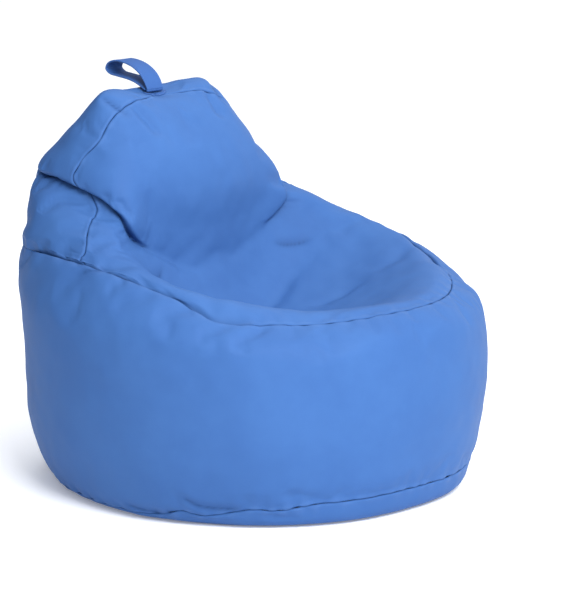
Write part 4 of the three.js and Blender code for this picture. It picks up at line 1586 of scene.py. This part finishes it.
@dataclass
class Inner:
    """Light liner, its base with the filling slit and small zip, and the beads inside."""

    relief: Relief
    finishes: Finishes
    sheet: float = 0.8 * MM
    slit: tuple[float, float] = (110 * MM, 6 * MM)  # half length, half width

    def build(self) -> None:
        """Make the liner and the beads."""
        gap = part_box("wall_panel")[1].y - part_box("zip_slider")[0].y + 1.9 * MM
        self._bag(gap)
        self._base()
        for label in ("left", "right"):
            self._coil(label)
            self._tape(label)
        refine("liner_zip_slider", self.finishes.metal, 0.35 * MM)
        self._beads(gap + self.sheet + 1 * MM)

    def _surface(self, rows: Array, columns: int, gap: float) -> tuple[Array, Array]:
        """Points and outward directions of the creased face moved in by gap."""
        turns = np.broadcast_to(np.arange(columns) * TAU / columns, (len(rows), columns))
        v = np.broadcast_to(rows[:, None], turns.shape)
        face, out, _, _ = self.relief.apply(turns, v, inside=True)
        return face - out * gap, out

    def _bag(self, gap: float) -> None:
        """Liner body with soft wrinkles of its own."""
        face, out = self._surface(np.linspace(0.6, 16.97, 150), 200, gap)
        wrinkle = Ripple(77, 0.03, 0.11, 3, 36).at(face)[..., None] * 0.35 * MM
        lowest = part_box("liner_base")[1].z + 0.3 * MM
        outer = face + out * (wrinkle - 0.4 * MM)
        outer[..., 2] = np.maximum(outer[..., 2], lowest)
        inner = outer - out * self.sheet
        inner[..., 2] = np.maximum(inner[..., 2], lowest)
        obj = shell("liner_bag", outer, inner, ring=True)
        weld(obj)
        dress(obj, self.finishes.liner)
        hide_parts("liner_body")
        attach(obj, "bag")

    def _base(self) -> None:
        """Round bottom of the liner, open at the slit."""
        lo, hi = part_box("liner_base")
        count, rows = 180, 40
        turn = np.arange(count) * TAU / count
        edge = self.relief.form.point(turn, np.zeros(count))[:, :2]
        way = np.stack([np.sin(turn), -np.cos(turn)], 1)
        reach = 1 / np.maximum(np.abs(way[:, 0]) / self.slit[0], np.abs(way[:, 1]) / self.slit[1])
        hole = way * reach[:, None]
        share = (np.linspace(0, 1, rows) ** 1.2)[:, None, None]
        flat = hole[None] + (edge - hole)[None] * share
        solid = np.concatenate([flat, np.zeros((rows, count, 1))], -1)
        wave = 0.3 * MM * Ripple(12, 0.04, 0.15, 3).at(solid) * np.sin(share[..., 0] * math.pi)
        lower, upper = solid.copy(), solid.copy()
        lower[..., 2] = lo.z + wave
        upper[..., 2] = hi.z + wave
        obj = shell("liner_bottom", lower, upper, ring=True)
        fix_normals(obj)
        dress(obj, self.finishes.liner)
        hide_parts("liner_base")
        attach(obj, "bag")

    def _coil(self, label: str) -> None:
        """Nylon coil wound along the slit."""
        lo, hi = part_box(f"liner_zip_coil_{label}")
        wire, pitch = 0.28 * MM, 1.5 * MM
        turns = int((hi.x - lo.x - 2 * wire) / pitch)
        t = np.linspace(0, turns, turns * 10 + 1)
        x = lo.x + wire + (hi.x - lo.x - 2 * wire) * t / turns
        y = (lo.y + hi.y) / 2 + ((hi.y - lo.y) / 2 - wire) * np.cos(t * TAU)
        z = (lo.z + hi.z) / 2 + ((hi.z - lo.z) / 2 - wire) * np.sin(t * TAU)
        obj = join_pieces(f"liner_coil_{label}", [rod(np.column_stack([x, y, z]), wire, 5)])
        dress(obj, self.finishes.teeth)
        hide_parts(f"liner_zip_coil_{label}")
        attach(obj, "bag")

    def _tape(self, label: str) -> None:
        """Narrow woven tape beside the coil."""
        lo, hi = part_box(f"liner_zip_tape_{label}")
        x, y = np.meshgrid(np.linspace(lo.x, hi.x, 150), np.linspace(lo.y, hi.y, 8))
        upper = np.stack([x, y, hi.z - 0.1 * MM + 0.08 * MM * np.sin(x * 900)], -1)
        lower = upper - np.array([0, 0, (hi.z - lo.z) * 0.75])
        obj = shell(f"liner_tape_{label}", upper, lower)
        fix_normals(obj)
        dress(obj, self.finishes.tape)
        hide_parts(f"liner_zip_tape_{label}")
        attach(obj, "bag")

    def _beads(self, gap: float) -> None:
        """Beads packed against the liner, with single beads pressing at the face."""
        columns, count = 260, 170
        rows = np.linspace(1.0, 16.95, count)
        face, out = self._surface(rows, columns, gap)
        lumps = Ripple(91, 7 * MM, 14 * MM, 3, 60).at(face)[..., None]
        shell = face + out * (np.abs(lumps) * 0.5 * MM - 1.4 * MM)
        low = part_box("bead_fill")[0].z
        shell[..., 2] = np.maximum(shell[..., 2], low)
        bottom = shell[0] * np.array([1, 1, 0]) + np.array([0, 0, low])
        rings = [bottom * np.array([k, k, 1]) for k in np.linspace(0.02, 0.98, 30)]
        grid = np.concatenate([rings, shell])
        index = np.arange(len(grid) * columns).reshape(len(grid), columns)
        nxt = np.roll(index, -1, 1)
        quads = np.stack([index[:-1], nxt[:-1], nxt[1:], index[1:]], -1).reshape(-1, 4).tolist()
        quads += [index[0][::-1].tolist(), index[-1].tolist()]
        obj = new_piece("bead_filling", grid.reshape(-1, 3), quads)
        dress(obj, self.finishes.beads)
        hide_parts("bead_fill")
        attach(obj, "bag")


# ---------------------------------------------------------------- camera and light
@dataclass(frozen=True)
class Lamp:
    """One soft square light that faces the bag; angles in degrees."""

    name: str
    azimuth: float
    elevation: float
    distance: float
    size: float
    power: float


@dataclass(frozen=True)
class Set:
    """Camera, lights, floor and sky; angles in degrees."""

    azimuth: float = -50.0
    elevation: float = 11.8
    distance: float = 4.5
    target: tuple[float, float, float] = (0.0, 0.0, 0.3)
    lens: float = 148.8
    shift: tuple[float, float] = (0.040, 0.0167)
    lamps: tuple[Lamp, ...] = (
        Lamp("key", -24, 42, 3.6, 2.2, 162),
        Lamp("top", 120, 70, 3.6, 2.6, 36),
    )
    sky_power: float = 1.3
    shade_power: float = 0.12
    shade_side: float = -165.0  # where the sky is dimmest
    shade_span: tuple[float, float] = (-0.05, 0.85)  # cosine of the angle from there, bright and dim
    floor_reach: float = 30.0
    floor_drop: float = 0.5 * MM  # below the base, so that the two never share a plane

    def _aim(self, obj: bpy.types.Object, azimuth: float, elevation: float, distance: float) -> None:
        """Place a camera or a lamp so that it faces the target."""
        a, e = azimuth * DEG, elevation * DEG
        back = Vector((math.sin(a) * math.cos(e), -math.cos(a) * math.cos(e), math.sin(e)))
        obj.location = Vector(self.target) + back * distance
        obj.rotation_euler = back.to_track_quat("Z", "Y").to_euler()
        bpy.context.scene.collection.objects.link(obj)

    def camera(self) -> None:
        """Place the camera."""
        data = bpy.data.cameras.new("camera")
        data.lens = self.lens
        data.shift_x, data.shift_y = self.shift
        data.clip_end = 100
        obj = bpy.data.objects.new("camera", data)
        self._aim(obj, self.azimuth, self.elevation, self.distance)
        bpy.context.scene.camera = obj

    def light(self, lamp: Lamp) -> None:
        """Place one lamp."""
        data = bpy.data.lights.new(lamp.name, "AREA")
        data.size = lamp.size
        data.energy = lamp.power
        self._aim(bpy.data.objects.new(lamp.name, data), lamp.azimuth, lamp.elevation, lamp.distance)

    def sky(self) -> None:
        """Plain white to the camera, and dimmer towards the rear left for the light it gives."""
        world = bpy.data.worlds.new("studio")
        bpy.context.scene.world = world
        world.use_nodes = True
        tree = world.node_tree
        ground = tree.nodes["Background"]
        ground.inputs["Color"].default_value = (0.97, 0.98, 1.0, 1)
        place = tree.nodes.new("ShaderNodeTexCoord")
        dot = tree.nodes.new("ShaderNodeVectorMath")
        dot.operation = "DOT_PRODUCT"
        a = self.shade_side * DEG
        dot.inputs[1].default_value = (math.sin(a), -math.cos(a), 0)
        span = tree.nodes.new("ShaderNodeMapRange")
        span.interpolation_type = "SMOOTHSTEP"
        for number, value in enumerate((*self.shade_span, self.sky_power, self.shade_power), 1):
            span.inputs[number].default_value = value
        path = tree.nodes.new("ShaderNodeLightPath")
        pick = tree.nodes.new("ShaderNodeMix")
        pick.inputs["B"].default_value = 1.0
        tree.links.new(place.outputs["Generated"], dot.inputs[0])
        tree.links.new(dot.outputs["Value"], span.inputs["Value"])
        tree.links.new(span.outputs["Result"], pick.inputs["A"])
        tree.links.new(path.outputs["Is Camera Ray"], pick.inputs["Factor"])
        tree.links.new(pick.outputs["Result"], ground.inputs["Strength"])

    def set_up(self) -> None:
        """Make the studio."""
        self.camera()
        for lamp in self.lamps:
            self.light(lamp)
        self.sky()
        ways = ((-1, -1), (1, -1), (1, 1), (-1, 1))
        corners = np.array([[x * self.floor_reach, y * self.floor_reach, -self.floor_drop] for x, y in ways])
        floor = new_piece("floor", corners, [[0, 1, 2, 3]], smooth=False)
        floor.data.materials.append(Backdrop().material())
        bpy.context.scene.view_settings.view_transform = "Standard"


def main() -> None:
    """Build every sub-assembly in order."""
    logging.basicConfig(level=logging.INFO, format="%(message)s")
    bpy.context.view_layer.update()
    Set().set_up()
    form = BagForm()
    relief = Relief(form)
    relief.simulated = Swell(relief)
    finishes = Finishes.make()
    Cover(relief, finishes.cover).build()
    Handle(relief, finishes).build()
    RearZip(relief, finishes).build()
    Vents(finishes).build()
    Label(relief, finishes).build()
    Inner(relief, finishes).build()


if __name__ == "__main__":
    main()
